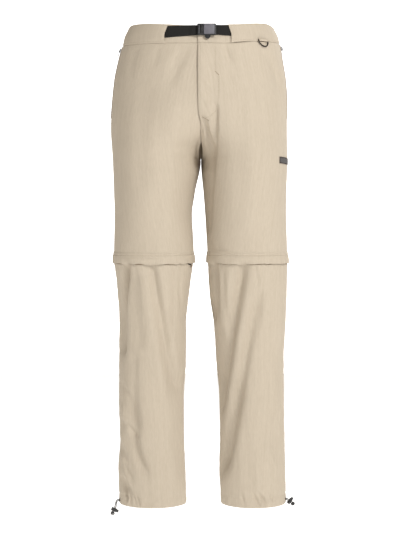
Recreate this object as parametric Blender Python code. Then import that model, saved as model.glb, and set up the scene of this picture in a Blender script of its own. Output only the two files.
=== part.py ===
"""Zip-off outdoor trousers, filled out as if worn. Metres, +Z up, the front faces -Y.

The origin is the middle of the waistband, halfway up it. The wearer's right is at -X.
"""
import math

import bmesh
import bpy
from mathutils import Matrix, Vector

# Cloth and seams
WALL = 0.0018
SEAM_GAP = 0.0003
HALF_GAP = SEAM_GAP / 2

# Heights on the side seam, from the waistband down to the hem
WAIST_TOP = 0.0257
FRONT_LAYER_TOP = 0.0213
WAIST_SEAM = -0.0143
CROTCH = -0.267
ZIP_TOP = -0.4895
ZIP_BOTTOM = -0.4995
FLAP_TOP = -0.4695
FLAP_BOTTOM = -0.4955
FLAP_THICK = 0.0016
FLAP_OUT = 0.0025
FLAP_FLARE = 0.0022
HEM = -1.0280

# One row for each height of the worn outline. right and left are the wearer's legs: the outer and the inner
# edge of each, as distances from the middle. front and back are the depths at the leg's middle, side_y and
# inseam_y where the two seams run, and lean how much a level ring rises for each metre towards the back.
COLUMNS = ("z", "right_out", "right_in", "left_out", "left_in", "front", "back", "side_y", "inseam_y", "lean")
OUTLINE = [
    (0.0300, 0.1600, 0.0, 0.1625, 0.0, -0.104, 0.104, 0.000, 0.030, 0.076),
    (0.0062, 0.1686, 0.0, 0.1700, 0.0, -0.106, 0.108, 0.000, 0.030, 0.076),
    (-0.0133, 0.1739, 0.0, 0.1751, 0.0, -0.109, 0.113, 0.000, 0.030, 0.076),
    (-0.0445, 0.1824, 0.0, 0.1811, 0.0, -0.112, 0.122, 0.002, 0.030, 0.055),
    (-0.0913, 0.1920, 0.0, 0.1889, 0.0, -0.114, 0.134, 0.004, 0.030, 0.020),
    (-0.1426, 0.1974, 0.0, 0.1922, 0.0, -0.114, 0.141, 0.006, 0.030, 0.000),
    (-0.1961, 0.2007, 0.0, 0.1922, 0.0, -0.110, 0.137, 0.006, 0.030, 0.000),
    (-0.2670, 0.1962, 0.0, 0.1931, 0.0, -0.105, 0.116, 0.004, 0.030, 0.000),
    (-0.3411, 0.1933, 0.0135, 0.1907, 0.0060, -0.102, 0.101, 0.000, 0.020, 0.000),
    (-0.3895, 0.1916, 0.0195, 0.1900, 0.0098, -0.098, 0.092, -0.004, 0.010, 0.010),
    (-0.4727, 0.1929, 0.0156, 0.1918, 0.0145, -0.090, 0.068, -0.012, -0.008, 0.045),
    (-0.5563, 0.1849, 0.0252, 0.1909, 0.0183, -0.084, 0.060, -0.012, -0.008, 0.020),
    (-0.6299, 0.1811, 0.0322, 0.1887, 0.0290, -0.078, 0.069, -0.006, -0.002, 0.000),
    (-0.7090, 0.1820, 0.0326, 0.1851, 0.0343, -0.074, 0.076, 0.000, 0.004, 0.000),
    (-0.8005, 0.1820, 0.0377, 0.1851, 0.0410, -0.070, 0.071, 0.000, 0.003, 0.000),
    (-0.8886, 0.1791, 0.0368, 0.1864, 0.0428, -0.066, 0.062, 0.000, 0.000, 0.010),
    (-0.9539, 0.1835, 0.0341, 0.1882, 0.0415, -0.063, 0.056, -0.002, -0.002, 0.050),
    (-1.0300, 0.1813, 0.0317, 0.1893, 0.0444, -0.061, 0.053, -0.004, -0.004, 0.090),
]

# How far the top edge in front rises towards the sides, and the left seam below it, by distance from the middle
LIFT_COLUMNS = ("z", "right_top", "left_top", "left_seam")
WAIST_LIFT = [
    (0.0000, 0.0000, 0.0000, 0.0000),
    (-0.0600, 0.0000, 0.0000, 0.0000),
    (-0.0740, 0.0003, 0.0004, 0.0011),
    (-0.1020, 0.0026, 0.0032, 0.0042),
    (-0.1280, 0.0044, 0.0055, 0.0058),
    (-0.1420, 0.0046, 0.0060, 0.0058),
    (-0.1490, 0.0042, 0.0048, 0.0057),
    (-0.1550, 0.0028, 0.0026, 0.0056),
    (-0.1610, 0.0000, 0.0000, 0.0055),
    (-0.2000, 0.0000, 0.0000, 0.0055),
]
SEAM_LIFT_END = -0.0600

# How far each half of the seat has turned from part of one ring into a leg of its own, 0 to 1
RISE_COLUMNS = ("z", "front", "back")
RISE = [
    (0.0300, 0.00, 0.00),
    (-0.0800, 0.00, 0.00),
    (-0.1200, 0.05, 0.05),
    (-0.1500, 0.16, 0.13),
    (-0.1900, 0.42, 0.30),
    (-0.2200, 0.65, 0.50),
    (-0.2400, 0.84, 0.70),
    (-0.2520, 0.93, 0.85),
    (-0.2600, 0.975, 0.94),
    (-0.2670, 1.00, 1.00),
    (-1.0300, 1.00, 1.00),
]

# The largest folds, one row each: from x0, z0 to x1, z1 as seen from that side, bow sideways at the middle,
# half width, and height out of the cloth, negative for a trough
FOLD_COLUMNS = ("x0", "z0", "x1", "z1", "bow", "width", "height")
FRONT_FOLDS = [
    (-0.1594, -0.502, -0.1700, -0.691, 0.006, 0.011, -0.0065),
    (-0.0952, -0.500, -0.0409, -0.784, 0.000, 0.015, -0.0050),
    (-0.1190, -0.513, -0.0822, -0.752, 0.000, 0.017, 0.0030),
    (-0.1690, -0.806, -0.1430, -0.841, 0.000, 0.011, -0.0040),
    (-0.1561, -0.868, -0.1194, -0.943, 0.003, 0.012, -0.0045),
    (-0.1720, -0.900, -0.1500, -0.955, 0.000, 0.010, -0.0030),
    (0.0330, -0.502, 0.0360, -0.610, 0.000, 0.011, -0.0045),
    (0.0991, -0.500, 0.0467, -0.790, 0.000, 0.014, -0.0060),
    (0.1322, -0.590, 0.0520, -0.960, 0.000, 0.014, -0.0060),
    (0.1700, -0.850, 0.1560, -0.915, 0.000, 0.012, -0.0035),
    (0.0069, -0.205, 0.0235, -0.285, 0.000, 0.010, -0.0040),
    (0.0235, -0.275, 0.0150, -0.420, -0.003, 0.010, -0.0040),
    (0.0349, -0.155, 0.0265, -0.300, 0.000, 0.011, -0.0030),
    (0.1434, -0.036, 0.1730, -0.120, -0.004, 0.012, -0.0040),
    (0.0550, -0.028, 0.0720, -0.080, 0.000, 0.011, -0.0022),
    (-0.0298, -0.036, -0.0664, -0.110, 0.000, 0.012, -0.0028),
]
BACK_FOLDS = [
    (-0.1500, -0.205, -0.0300, -0.250, 0.010, 0.015, -0.0045),
    (0.1450, -0.210, 0.0320, -0.255, -0.010, 0.015, -0.0045),
    (-0.1350, -0.245, -0.0450, -0.275, 0.008, 0.012, -0.0030),
    (0.1250, -0.250, 0.0400, -0.283, -0.008, 0.012, -0.0032),
    (-0.1650, -0.435, -0.0500, -0.452, 0.005, 0.013, -0.0045),
    (0.1600, -0.425, 0.0420, -0.455, -0.005, 0.013, -0.0045),
    (-0.1600, -0.530, -0.0480, -0.560, -0.006, 0.013, -0.0050),
    (0.1650, -0.528, 0.0450, -0.552, 0.006, 0.013, -0.0050),
    (-0.0800, -0.590, -0.1500, -0.800, 0.004, 0.015, -0.0045),
    (0.0750, -0.600, 0.1450, -0.820, -0.004, 0.015, -0.0045),
    (-0.1400, -0.860, -0.0700, -0.960, 0.000, 0.013, -0.0040),
    (0.1450, -0.880, 0.0800, -0.970, 0.000, 0.013, -0.0040),
    (-0.0350, -0.040, -0.1100, -0.130, 0.004, 0.014, -0.0028),
    (0.0400, -0.040, 0.1150, -0.125, -0.004, 0.014, -0.0028),
]
FOLD_END = 0.030
SEAM_CALM = 0.022

# The left front laps over the right one down to the foot of the fly
FLY_LAP = 0.006
FLY_STEP = 0.0027
FLY_STEP_WIDTH = 0.030
FLY_LAP_ENDS = (-0.105, -0.135)
FLY_STEP_ENDS = (-0.140, -0.170)

# Waistband casings end either side of the belt, as distances from the middle
CASING_END = {"right": 0.0765, "left": 0.0640}
CASING_TUCK = 0.013
CASING_STEP = 0.0042
CASING_STEP_RUN = 0.060

# Belt and buckle
WEBBING = 0.0015
BELT_OUT = 0.0004
BELT_INSIDE = 0.0100
BELT_ROWS = {"right": (0.0128, -0.0095, -0.0067), "left": (0.0140, -0.0062, -0.0052)}
BUCKLE_LEFT = -0.0078
BUCKLE_RIGHT = 0.0328
BUCKLE_TOP = 0.0176
BUCKLE_BOTTOM = -0.0078
BUCKLE_DEPTH = 0.0052
BUCKLE_CLEAR = 0.0004
BUCKLE_RIM = 0.0028
WINDOW_WIDTH = 0.0056
PLATE_SIZE = (0.0226, 0.0190)
PLATE_X = 0.0180
PLATE_RISE = 0.0016
PLATE_DEPTH = 0.0016
BAR_X = -0.0040
BAR_RADIUS = 0.0012
TAB_X = 0.0145
TAB_RADIUS = 0.0064
TAB_THICK = 0.0032
TAB_SHOULDER = 0.0008

# Ring under the waistband on the wearer's left hip
RING_X = 0.1345
RING_WIDTH = 0.0260
RING_DROP = 0.0130
RING_WIRE = 0.0024
RING_CLEAR = 0.0003
RING_RAISE = 0.0015
LOOP_WIDTH = 0.0200
LOOP_THICK = 0.0008
LOOP_RISE = 0.0034

# Zips: sliders and pull tabs
SLIDER_LENGTH = 0.0096
SLIDER_WIDTH = 0.0070
SLIDER_THICK = 0.0013
POCKET_ZIP_TOP = -0.0165
POCKET_ZIP_BOTTOM = -0.1750
POCKET_ZIP_WIDTH = 0.0090
POCKET_ZIP_BACK = 0.0072
POCKET_ZIP_EDGE = (0.0011, 0.0008)
POCKET_ZIP_TEETH = (0.0015, 0.0012)
TEETH_TURN = 0.004
POCKET_SLIDER_DROP = 0.0080
PULLS = {"pocket": (0.0150, 0.0042), "knee": (0.0070, 0.0026)}
PULL_THICK = 0.0013
KNEE_SLIDER_LEVEL = -0.4968
KNEE_SLIDER_CLEAR = 0.0004
KNEE_PULL_SHIFT = (0.0020, 0.0040)
KNEE_SLIDERS = {"right": ("front", 0.0255), "left": ("back", 0.0330)}

# Patch on the wearer's left thigh
BADGE_HEIGHT = 0.0147
BADGE_THICK = 0.0013
BADGE_LEVEL = -0.2723
BADGE_TURN = (0.14, 0.66)
BADGE_BORDER = 0.0026
BADGE_DISTANCE = 0.1100
BADGE_FACE_THICK = 0.0006

# Hem drawcords
CORD = 0.0018
EYELET_RADIUS = 0.0030
EYELET_WIRE = 0.0011
EYELET_ANGLE = 0.168
EYELET_LEVEL = {"right": -1.0223, "left": -1.0197}
LOCK_RADIUS = 0.0039
LOCK_LENGTH = 0.0130
LOCK_BORE = 0.0031
LOCK_BORE_DEPTH = 0.0035
BUTTON_RADIUS = 0.0028
BUTTON_LENGTH = 0.0046
BUTTON_INSIDE = 0.0009
CORD_SLOT = (0.0050, 0.0026)
LOCKS = {
    "right": {"middle": (-0.1924, -0.0135, -1.0447), "axis": (0.911, 0.0, -0.412)},
    "left": {"middle": (0.1975, -0.0135, -1.0258), "axis": (0.627, 0.0, 0.779)},
}

# Mesh density
UPPER_COLUMNS = 14
LOWER_COLUMNS = 16
KNEE_COLUMNS = 16
RISE_ROWS = 10
THIGH_ROWS = 7
LOWER_ROWS = 14
SECTION_STEPS = 48
EYELET_STEPS = 12
POCKET_ZIP_ROWS = 10

SIDES = {"right": -1, "left": 1}


def read(table, columns, name, z):
    """A column of a table at height z, on a smooth curve through its rows."""
    index = columns.index(name)
    rows = [(row[0], row[index]) for row in table]
    if z >= rows[0][0]:
        return rows[0][1]
    if z <= rows[-1][0]:
        return rows[-1][1]
    at = next(i for i in range(len(rows) - 1) if rows[i + 1][0] <= z)

    def slope(i):
        if i in (0, len(rows) - 1):
            return 0.0
        before = (rows[i][1] - rows[i - 1][1]) / (rows[i][0] - rows[i - 1][0])
        after = (rows[i + 1][1] - rows[i][1]) / (rows[i + 1][0] - rows[i][0])
        return 0.0 if before * after <= 0 else 2 * before * after / (before + after)

    (z0, a), (z1, b) = rows[at], rows[at + 1]
    run = z1 - z0
    t = (z - z0) / run
    return (
        a * (2 * t**3 - 3 * t**2 + 1)
        + slope(at) * run * (t**3 - 2 * t**2 + t)
        + b * (3 * t**2 - 2 * t**3)
        + slope(at + 1) * run * (t**3 - t**2)
    )


def ramp(value, start, end):
    """0 before start, 1 after end, smooth between them. start may be the larger."""
    t = min(max((value - start) / (end - start), 0.0), 1.0)
    return t * t * (3 - 2 * t)


def fly_lap(side, half, level):
    if side != "left" or half != "front":
        return 0.0
    return FLY_LAP * (1 - ramp(level, *FLY_LAP_ENDS))


def section(side, half, level):
    """Middle, half width and last angle of one half of a leg's section, and its depth."""
    outer = read(OUTLINE, COLUMNS, side + "_out", level)
    inner = read(OUTLINE, COLUMNS, side + "_in", level) + HALF_GAP
    own = read(RISE, RISE_COLUMNS, half, level)
    width = (outer - inner) / (1 + own)
    middle = outer - width
    edge = inner - fly_lap(side, half, level) * (1 - own)
    last = math.acos(max(-1.0, (edge - middle) / width))
    depth = read(OUTLINE, COLUMNS, half, level)
    return middle, width, last, depth


def fold_height(half, x, z):
    """Sum of the folds at a place on the front or the back."""
    total = 0.0
    for row in FRONT_FOLDS if half == "front" else BACK_FOLDS:
        fold = dict(zip(FOLD_COLUMNS, row))
        along = Vector((fold["x1"] - fold["x0"], fold["z1"] - fold["z0"]))
        length = along.length
        along.normalize()
        place = Vector((x - fold["x0"], z - fold["z0"]))
        run = place.dot(along)
        if run < -FOLD_END or run > length + FOLD_END:
            continue
        share = min(max(run / length, 0.0), 1.0)
        across = place.x * along.y - place.y * along.x - fold["bow"] * 4 * share * (1 - share)
        ends = ramp(run, -FOLD_END, FOLD_END) * (1 - ramp(run, length - FOLD_END, length + FOLD_END))
        total += fold["height"] * ends * math.exp(-((across / fold["width"]) ** 2))
    return total


def waist_lift(side, half, x, level):
    """How far the waistband's edges rise towards the sides."""
    upper = ramp(level, WAIST_SEAM, WAIST_TOP)
    top = read(WAIST_LIFT, LIFT_COLUMNS, side + "_top", -x) if half == "front" else 0.0
    seam = read(WAIST_LIFT, LIFT_COLUMNS, "left_seam", -x) if side == "left" else 0.0
    return top * upper + seam * ramp(level, SEAM_LIFT_END, WAIST_SEAM) * (1 - upper)


def bare_point(side, half, angle, level):
    """The section curve itself, before folds."""
    middle, width, last, depth = section(side, half, level)
    side_y = read(OUTLINE, COLUMNS, "side_y", level)
    inseam_y = read(OUTLINE, COLUMNS, "inseam_y", level)
    seam_y = side_y + (inseam_y - side_y) * angle / math.pi
    reach = depth - (side_y + inseam_y) / 2
    x = middle + width * math.cos(angle)
    y = seam_y + reach * math.sin(angle)
    z = level + read(OUTLINE, COLUMNS, "lean", level) * y + waist_lift(side, half, x, level)
    return Vector((SIDES[side] * x, y, z))


def skin_point(side, half, angle, level):
    """A place on the trousers' outer face, with its folds and the lap of the fly."""
    step = 0.004
    here = bare_point(side, half, angle, level)
    round_way = bare_point(side, half, angle + step, level) - bare_point(side, half, angle - step, level)
    up_way = bare_point(side, half, angle, level + step) - bare_point(side, half, angle, level - step)
    outward = round_way.cross(up_way).normalized()
    if outward.dot(Vector((here.x - SIDES[side] * section(side, half, level)[0], here.y, 0))) < 0:
        outward.negate()
    middle, width, last, depth = section(side, half, level)
    reach = width * (angle if angle < math.pi / 2 else max(last - angle, 0.0))
    rise = fold_height(half, here.x, here.z) * ramp(reach, 0.0, SEAM_CALM)
    if side == "left" and half == "front":
        rise += FLY_STEP * (1 - ramp(level, *FLY_STEP_ENDS)) * (1 - ramp(here.x, 0.0, FLY_STEP_WIDTH))
    return here + outward * rise


def skin(side, half, angle, level, out=0.0):
    """A place a distance out from the cloth's outer face, and the direction outward there."""
    step = 0.006
    here = skin_point(side, half, angle, level)
    round_way = skin_point(side, half, angle + step, level) - skin_point(side, half, angle - step, level)
    up_way = skin_point(side, half, angle, level + step) - skin_point(side, half, angle, level - step)
    outward = round_way.cross(up_way).normalized()
    if SIDES[side] * (1 if half == "front" else -1) > 0:
        outward.negate()
    if outward.dot(Vector((0, -1 if half == "front" else 1, 0))) < -0.5:
        outward.negate()
    return here + outward * out, outward


def even_angles(side, half, level, count, first=0.0, last=None, trim=HALF_GAP):
    """Angles that divide a section's length evenly, its ends trimmed for the seams."""
    end = section(side, half, level)[2] if last is None else last
    angles = [first + (end - first) * i / SECTION_STEPS for i in range(SECTION_STEPS + 1)]
    places = [bare_point(side, half, a, level) for a in angles]
    lengths = [0.0]
    for one, two in zip(places, places[1:]):
        lengths.append(lengths[-1] + (two - one).length)
    found = []
    for i in range(count + 1):
        want = trim + (lengths[-1] - 2 * trim) * i / count
        at = next(k for k in range(1, len(lengths)) if lengths[k] >= want - 1e-12)
        share = (want - lengths[at - 1]) / (lengths[at] - lengths[at - 1])
        found.append(angles[at - 1] + share * (angles[at] - angles[at - 1]))
    return found


def angle_at(side, half, x, level):
    """The angle at which a section passes a distance from the middle."""
    middle, width, last, depth = section(side, half, level)
    return math.acos(min(max((x - middle) / width, -1.0), 1.0))


def finish(name, bm, material, smooth=True):
    """Turns a bmesh into a named object in the part's collection."""
    mesh = bpy.data.meshes.new(name)
    bmesh.ops.recalc_face_normals(bm, faces=bm.faces)
    bm.to_mesh(mesh)
    bm.free()
    mesh.materials.append(material)
    obj = bpy.data.objects.new(name, mesh)
    PART.objects.link(obj)
    if smooth:
        mesh.shade_smooth()
        mesh.set_sharp_from_angle(angle=math.radians(40))
    return obj


def wall(name, rows, material, closed=False):
    """A cloth wall lofted through rows of (outer place, inner place) pairs."""
    bm = bmesh.new()
    grid = [[(bm.verts.new(outer), bm.verts.new(inner)) for outer, inner in row] for row in rows]
    count = len(rows[0])
    spans = range(count) if closed else range(count - 1)
    for low, high in zip(grid, grid[1:]):
        for i in spans:
            j = (i + 1) % count
            bm.faces.new((low[i][0], low[j][0], high[j][0], high[i][0]))
            bm.faces.new((low[i][1], high[i][1], high[j][1], low[j][1]))
    for row in (grid[0], grid[-1]):
        for i in spans:
            j = (i + 1) % count
            bm.faces.new((row[i][0], row[i][1], row[j][1], row[j][0]))
    if not closed:
        for i in (0, count - 1):
            for low, high in zip(grid, grid[1:]):
                bm.faces.new((low[i][0], high[i][0], high[i][1], low[i][1]))
    return finish(name, bm, material)


def layer(side, half, angle, level, out, thick):
    """Outer and inner place of a wall whose outer face stands out from the cloth by out."""
    place, outward = skin(side, half, angle, level)
    return place + outward * out, place + outward * (out - thick)


def rise_levels():
    """Levels from the waist seam to the crotch, closer together where the legs part."""
    levels = []
    for i in range(RISE_ROWS + 1):
        share = 1 - (1 - i / RISE_ROWS) ** 1.5
        levels.append(WAIST_SEAM - HALF_GAP + (CROTCH - WAIST_SEAM + HALF_GAP) * share)
    return levels


def leg_levels():
    thigh = [CROTCH + (ZIP_TOP + SEAM_GAP - CROTCH) * i / THIGH_ROWS for i in range(1, THIGH_ROWS + 1)]
    upper = rise_levels() + thigh
    lower = [ZIP_BOTTOM - SEAM_GAP + (HEM - ZIP_BOTTOM + SEAM_GAP) * i / LOWER_ROWS for i in range(LOWER_ROWS + 1)]
    return upper, lower


def make_panels(cloth):
    """Front and back of each leg, above and below the knee zip."""
    upper, lower = leg_levels()
    for prefix, levels, columns in (("", upper, UPPER_COLUMNS), ("lower_", lower, LOWER_COLUMNS)):
        for half in ("front", "back"):
            for side in SIDES:
                rows = []
                for level in levels:
                    angles = even_angles(side, half, level, columns)
                    rows.append([layer(side, half, a, level, 0.0, WALL) for a in angles])
                wall(f"{prefix}{half}_{side}", rows, cloth)


def make_waistband(cloth):
    """The casings round the sides and back, and the lower layer in front behind the belt."""
    levels = [WAIST_TOP + (WAIST_SEAM + HALF_GAP - WAIST_TOP) * i / 3 for i in range(4)]
    for side in SIDES:
        rows = []
        for level in levels:
            end = angle_at(side, "front", CASING_END[side], level)
            row = []
            for a in even_angles(side, "back", level, 10)[::-1]:
                row.append(layer(side, "back", a, level, 0.0, WALL))
            front = [end * i / 9 for i in range(10)]
            for a in front:
                here = abs(bare_point(side, "front", a, level).x)
                out = CASING_STEP * (1 - ramp(here, CASING_END[side] + CASING_TUCK, CASING_END[side] + CASING_STEP_RUN))
                row.append(layer(side, "front", a, level, out, WALL))
            del row[10]
            rows.append(row)
        wall(f"waistband_{side}", rows, cloth)
    levels = [FRONT_LAYER_TOP + (WAIST_SEAM + HALF_GAP - FRONT_LAYER_TOP) * i / 3 for i in range(4)]
    for side in SIDES:
        rows = []
        for level in levels:
            start = angle_at(side, "front", CASING_END[side] + CASING_TUCK, level)
            angles = even_angles(side, "front", level, 8, first=start)
            rows.append([layer(side, "front", a, level, 0.0, WALL) for a in angles])
        wall(f"waistband_front_{side}", rows, cloth)


def ring_row(side, level, columns, out, thick):
    """A closed row round one leg."""
    row = []
    for a in even_angles(side, "front", level, columns, trim=0.0)[:-1]:
        row.append(layer(side, "front", a, level, out, thick))
    for a in even_angles(side, "back", level, columns, trim=0.0)[:0:-1]:
        row.append(layer(side, "back", a, level, out, thick))
    return row


def make_knees(cloth, tape):
    """The closed zip round each knee and the flap that covers it."""
    for side in SIDES:
        rows = [ring_row(side, level, KNEE_COLUMNS, 0.0, WALL) for level in (ZIP_TOP, ZIP_BOTTOM)]
        wall(f"knee_zip_{side}", rows, tape, closed=True)
        rows = []
        for share in (0.0, 0.5, 1.0):
            level = FLAP_TOP + (FLAP_BOTTOM - FLAP_TOP) * share
            rows.append(ring_row(side, level, KNEE_COLUMNS, FLAP_OUT + FLAP_FLARE * share, FLAP_THICK))
        wall(f"knee_flap_{side}", rows, cloth, closed=True)


def belt_face(side, x, z, out):
    """A place in front of the waist at x and z, a distance out from the layer behind the belt."""
    middle, width, last, depth = section(side, "front", z)
    angle = math.acos((SIDES[side] * x - middle) / width)
    level = z - read(OUTLINE, COLUMNS, "lean", z) * bare_point(side, "front", angle, z).y
    flat = bare_point(side, "front", angle, level)
    ahead = bare_point(side, "front", angle + 0.01, level) - bare_point(side, "front", angle - 0.01, level)
    outward = Vector((ahead.y, -ahead.x, 0)).normalized()
    if outward.y > 0:
        outward.negate()
    lapped = FLY_STEP * (1 - ramp(abs(x), FLY_STEP_WIDTH / 2, FLY_STEP_WIDTH))
    return flat + outward * (BELT_OUT + lapped + out)


def make_belt(webbing):
    """Webbing from inside each casing's end to the buckle."""
    for side, sign in SIDES.items():
        top, bottom_end, bottom_buckle = BELT_ROWS[side]
        start = sign * (CASING_END[side] + CASING_TUCK - 0.001)
        stop = BUCKLE_LEFT + BELT_INSIDE if side == "right" else BUCKLE_RIGHT - BELT_INSIDE
        rows = []
        for edge in (0, 1):
            row = []
            for i in range(13):
                share = i / 12
                x = start + (stop - start) * share
                z = top if edge == 0 else bottom_end + (bottom_buckle - bottom_end) * share
                row.append((belt_face(side, x, z, WEBBING), belt_face(side, x, z, 0.0)))
            rows.append(row)
        wall(f"belt_{side}", rows, webbing)


def block(name, size, centre, material, bevel=0.0, turn=None):
    """A rounded block."""
    bm = bmesh.new()
    bmesh.ops.create_cube(bm, size=1.0)
    bmesh.ops.scale(bm, vec=size, verts=bm.verts)
    if bevel:
        bmesh.ops.bevel(
            bm, geom=bm.edges[:], offset=bevel, segments=2, profile=0.5, affect="EDGES", clamp_overlap=True
        )
    if turn is not None:
        bmesh.ops.rotate(bm, matrix=turn, verts=bm.verts)
    bmesh.ops.translate(bm, vec=centre, verts=bm.verts)
    return finish(name, bm, material)


def rod(radius, length, segments=20):
    """A cylinder along X about the origin, as a bmesh."""
    bm = bmesh.new()
    bmesh.ops.create_cone(bm, cap_ends=True, segments=segments, radius1=radius, radius2=radius, depth=length)
    bmesh.ops.rotate(bm, matrix=Matrix.Rotation(math.pi / 2, 3, "Y"), verts=bm.verts)
    return bm


def cut(obj, cutter):
    """Takes a cutter out of an object with an exact Boolean that stays on it."""
    cutter.name = f"cutter_{obj.name}_{len(CUTTERS.objects)}"
    PART.objects.unlink(cutter)
    CUTTERS.objects.link(cutter)
    cutter.hide_render = True
    cutter.display_type = "WIRE"
    modifier = obj.modifiers.new("cut", "BOOLEAN")
    modifier.operation = "DIFFERENCE"
    modifier.object = cutter


def buckle_seat():
    """Turns a place in the buckle's own frame, its back at y 0, into one on the belt."""
    x = (BUCKLE_RIGHT + BUCKLE_LEFT) / 2
    z = (BUCKLE_TOP + BUCKLE_BOTTOM) / 2
    top = belt_face("right", 0.0, BELT_ROWS["right"][0], WEBBING + BUCKLE_CLEAR)
    foot = belt_face("right", 0.0, BELT_ROWS["right"][2], WEBBING + BUCKLE_CLEAR)
    slope = (top.y - foot.y) / (top.z - foot.z)
    y = foot.y + slope * (z - foot.z)
    return Matrix.Translation((x, y, z)) @ Matrix.Rotation(-math.atan(slope), 4, "X")


def make_buckle(plastic, grey):
    """A flat buckle: frame with the webbing's window, adjusting bar, face plate and press tab."""
    seat = buckle_seat()
    height = BUCKLE_TOP - BUCKLE_BOTTOM
    window_height = height - 2 * BUCKLE_RIM
    middle_x = (BUCKLE_RIGHT + BUCKLE_LEFT) / 2
    size = (BUCKLE_RIGHT - BUCKLE_LEFT, BUCKLE_DEPTH, height)
    frame = block("buckle_frame", size, (0, -BUCKLE_DEPTH / 2, 0), plastic, 0.0014)
    size = (WINDOW_WIDTH, 4 * BUCKLE_DEPTH, window_height)
    window = block("window", size, (BAR_X - middle_x, 0, 0), plastic)
    bm = rod(BAR_RADIUS, window_height - 2 * SEAM_GAP, 12)
    bmesh.ops.rotate(bm, matrix=Matrix.Rotation(math.pi / 2, 3, "Y"), verts=bm.verts)
    bmesh.ops.translate(bm, vec=(BAR_X - middle_x, BAR_RADIUS - BUCKLE_DEPTH, 0), verts=bm.verts)
    bar = finish("buckle_bar", bm, grey)
    size = (PLATE_SIZE[0], PLATE_DEPTH, PLATE_SIZE[1])
    plate_y = -BUCKLE_DEPTH - SEAM_GAP - PLATE_DEPTH / 2
    plate = block("buckle_plate", size, (PLATE_X - middle_x, plate_y, PLATE_RISE), grey, 0.0005)
    bm = rod(TAB_RADIUS, TAB_THICK, 24)
    bmesh.ops.rotate(bm, matrix=Matrix.Rotation(math.pi / 2, 3, "Z"), verts=bm.verts)
    everything = bm.verts[:] + bm.edges[:] + bm.faces[:]
    halved = bmesh.ops.bisect_plane(
        bm, geom=everything, plane_co=(0, 0, TAB_SHOULDER), plane_no=(0, 0, 1), clear_outer=True
    )
    rim = [item for item in halved["geom_cut"] if isinstance(item, bmesh.types.BMEdge)]
    bmesh.ops.contextual_create(bm, geom=rim)
    tab_z = -height / 2 - SEAM_GAP - TAB_SHOULDER
    bmesh.ops.translate(bm, vec=(TAB_X - middle_x, -BUCKLE_DEPTH / 2, tab_z), verts=bm.verts)
    tab = finish("buckle_tab", bm, plastic)
    for obj in (frame, window, bar, plate, tab):
        obj.data.transform(seat)
    cut(frame, window)


def smooth_route(points, per_span):
    """A smooth curve through hand-set points."""
    route = []
    for i in range(len(points) - 1):
        before = points[max(i - 1, 0)]
        start, end = points[i], points[i + 1]
        after = points[min(i + 2, len(points) - 1)]
        for k in range(per_span):
            t = k / per_span
            route.append(
                0.5
                * (
                    2 * start
                    + (end - before) * t
                    + (2 * before - 5 * start + 4 * end - after) * t * t
                    + (3 * start - before - 3 * end + after) * t**3
                )
            )
    return route + [points[-1]]


def tube(name, route, radius, material, closed=False):
    """A wire or cord along a route."""
    curve = bpy.data.curves.new(name, "CURVE")
    curve.dimensions = "3D"
    spline = curve.splines.new("POLY")
    spline.points.add(len(route) - 1)
    for point, place in zip(spline.points, route):
        point.co = (*place, 1.0)
    spline.use_cyclic_u = closed
    curve.bevel_depth = radius
    curve.bevel_resolution = 2
    curve.use_fill_caps = not closed
    curve.materials.append(material)
    obj = bpy.data.objects.new(name, curve)
    PART.objects.link(obj)
    return obj


def ring_frame():
    """The hip ring's bar: its middle, and the directions along it, out of the cloth and down it."""
    level = WAIST_SEAM + RING_RAISE
    angle = angle_at("left", "front", RING_X, level)
    place, outward = skin("left", "front", angle, level, RING_CLEAR * 2 + LOOP_THICK + RING_WIRE / 2)
    below = skin("left", "front", angle, level - 0.012)[0] - skin("left", "front", angle, level)[0]
    along = Vector((-outward.y, outward.x, 0)).normalized()
    down = (below - along * below.dot(along)).normalized()
    return place, along, down.cross(along) * (1 if down.cross(along).dot(outward) > 0 else -1), down


def make_ring(metal, cloth):
    """The ring hangs from a small cloth loop sewn over the waistband's lower edge."""
    place, along, outward, down = ring_frame()
    half = RING_WIDTH / 2
    shape = [
        (-half * 0.95, 0.0000),
        (-half * 0.90, 0.0022),
        (-half * 0.55, 0.0075),
        (0.0, 0.0114),
        (half * 0.45, RING_DROP),
        (half * 0.88, 0.0098),
        (half, 0.0050),
        (half * 0.95, 0.0008),
        (half * 0.70, 0.0),
        (0.0, 0.0),
        (-half * 0.70, 0.0),
    ]
    tube("d_ring", [place + along * x + down * drop for x, drop in shape], RING_WIRE / 2, metal, closed=True)
    inner = RING_WIRE / 2 + RING_CLEAR
    outer = inner + LOOP_THICK
    turns = [math.pi * k / 6 for k in range(7)]
    profile = [((outer, -LOOP_RISE), (inner, -LOOP_RISE))]
    profile += [
        ((outer * math.cos(t), outer * math.sin(t)), (inner * math.cos(t), inner * math.sin(t))) for t in turns
    ]
    profile.append(((-outer, -LOOP_RISE), (-inner, -LOOP_RISE)))
    rows = []
    for x in (-LOOP_WIDTH / 2, LOOP_WIDTH / 2):
        base = place + along * x
        rows.append([tuple(base + outward * o + down * d for o, d in pair) for pair in profile])
    wall("ring_loop", rows, cloth)


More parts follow.
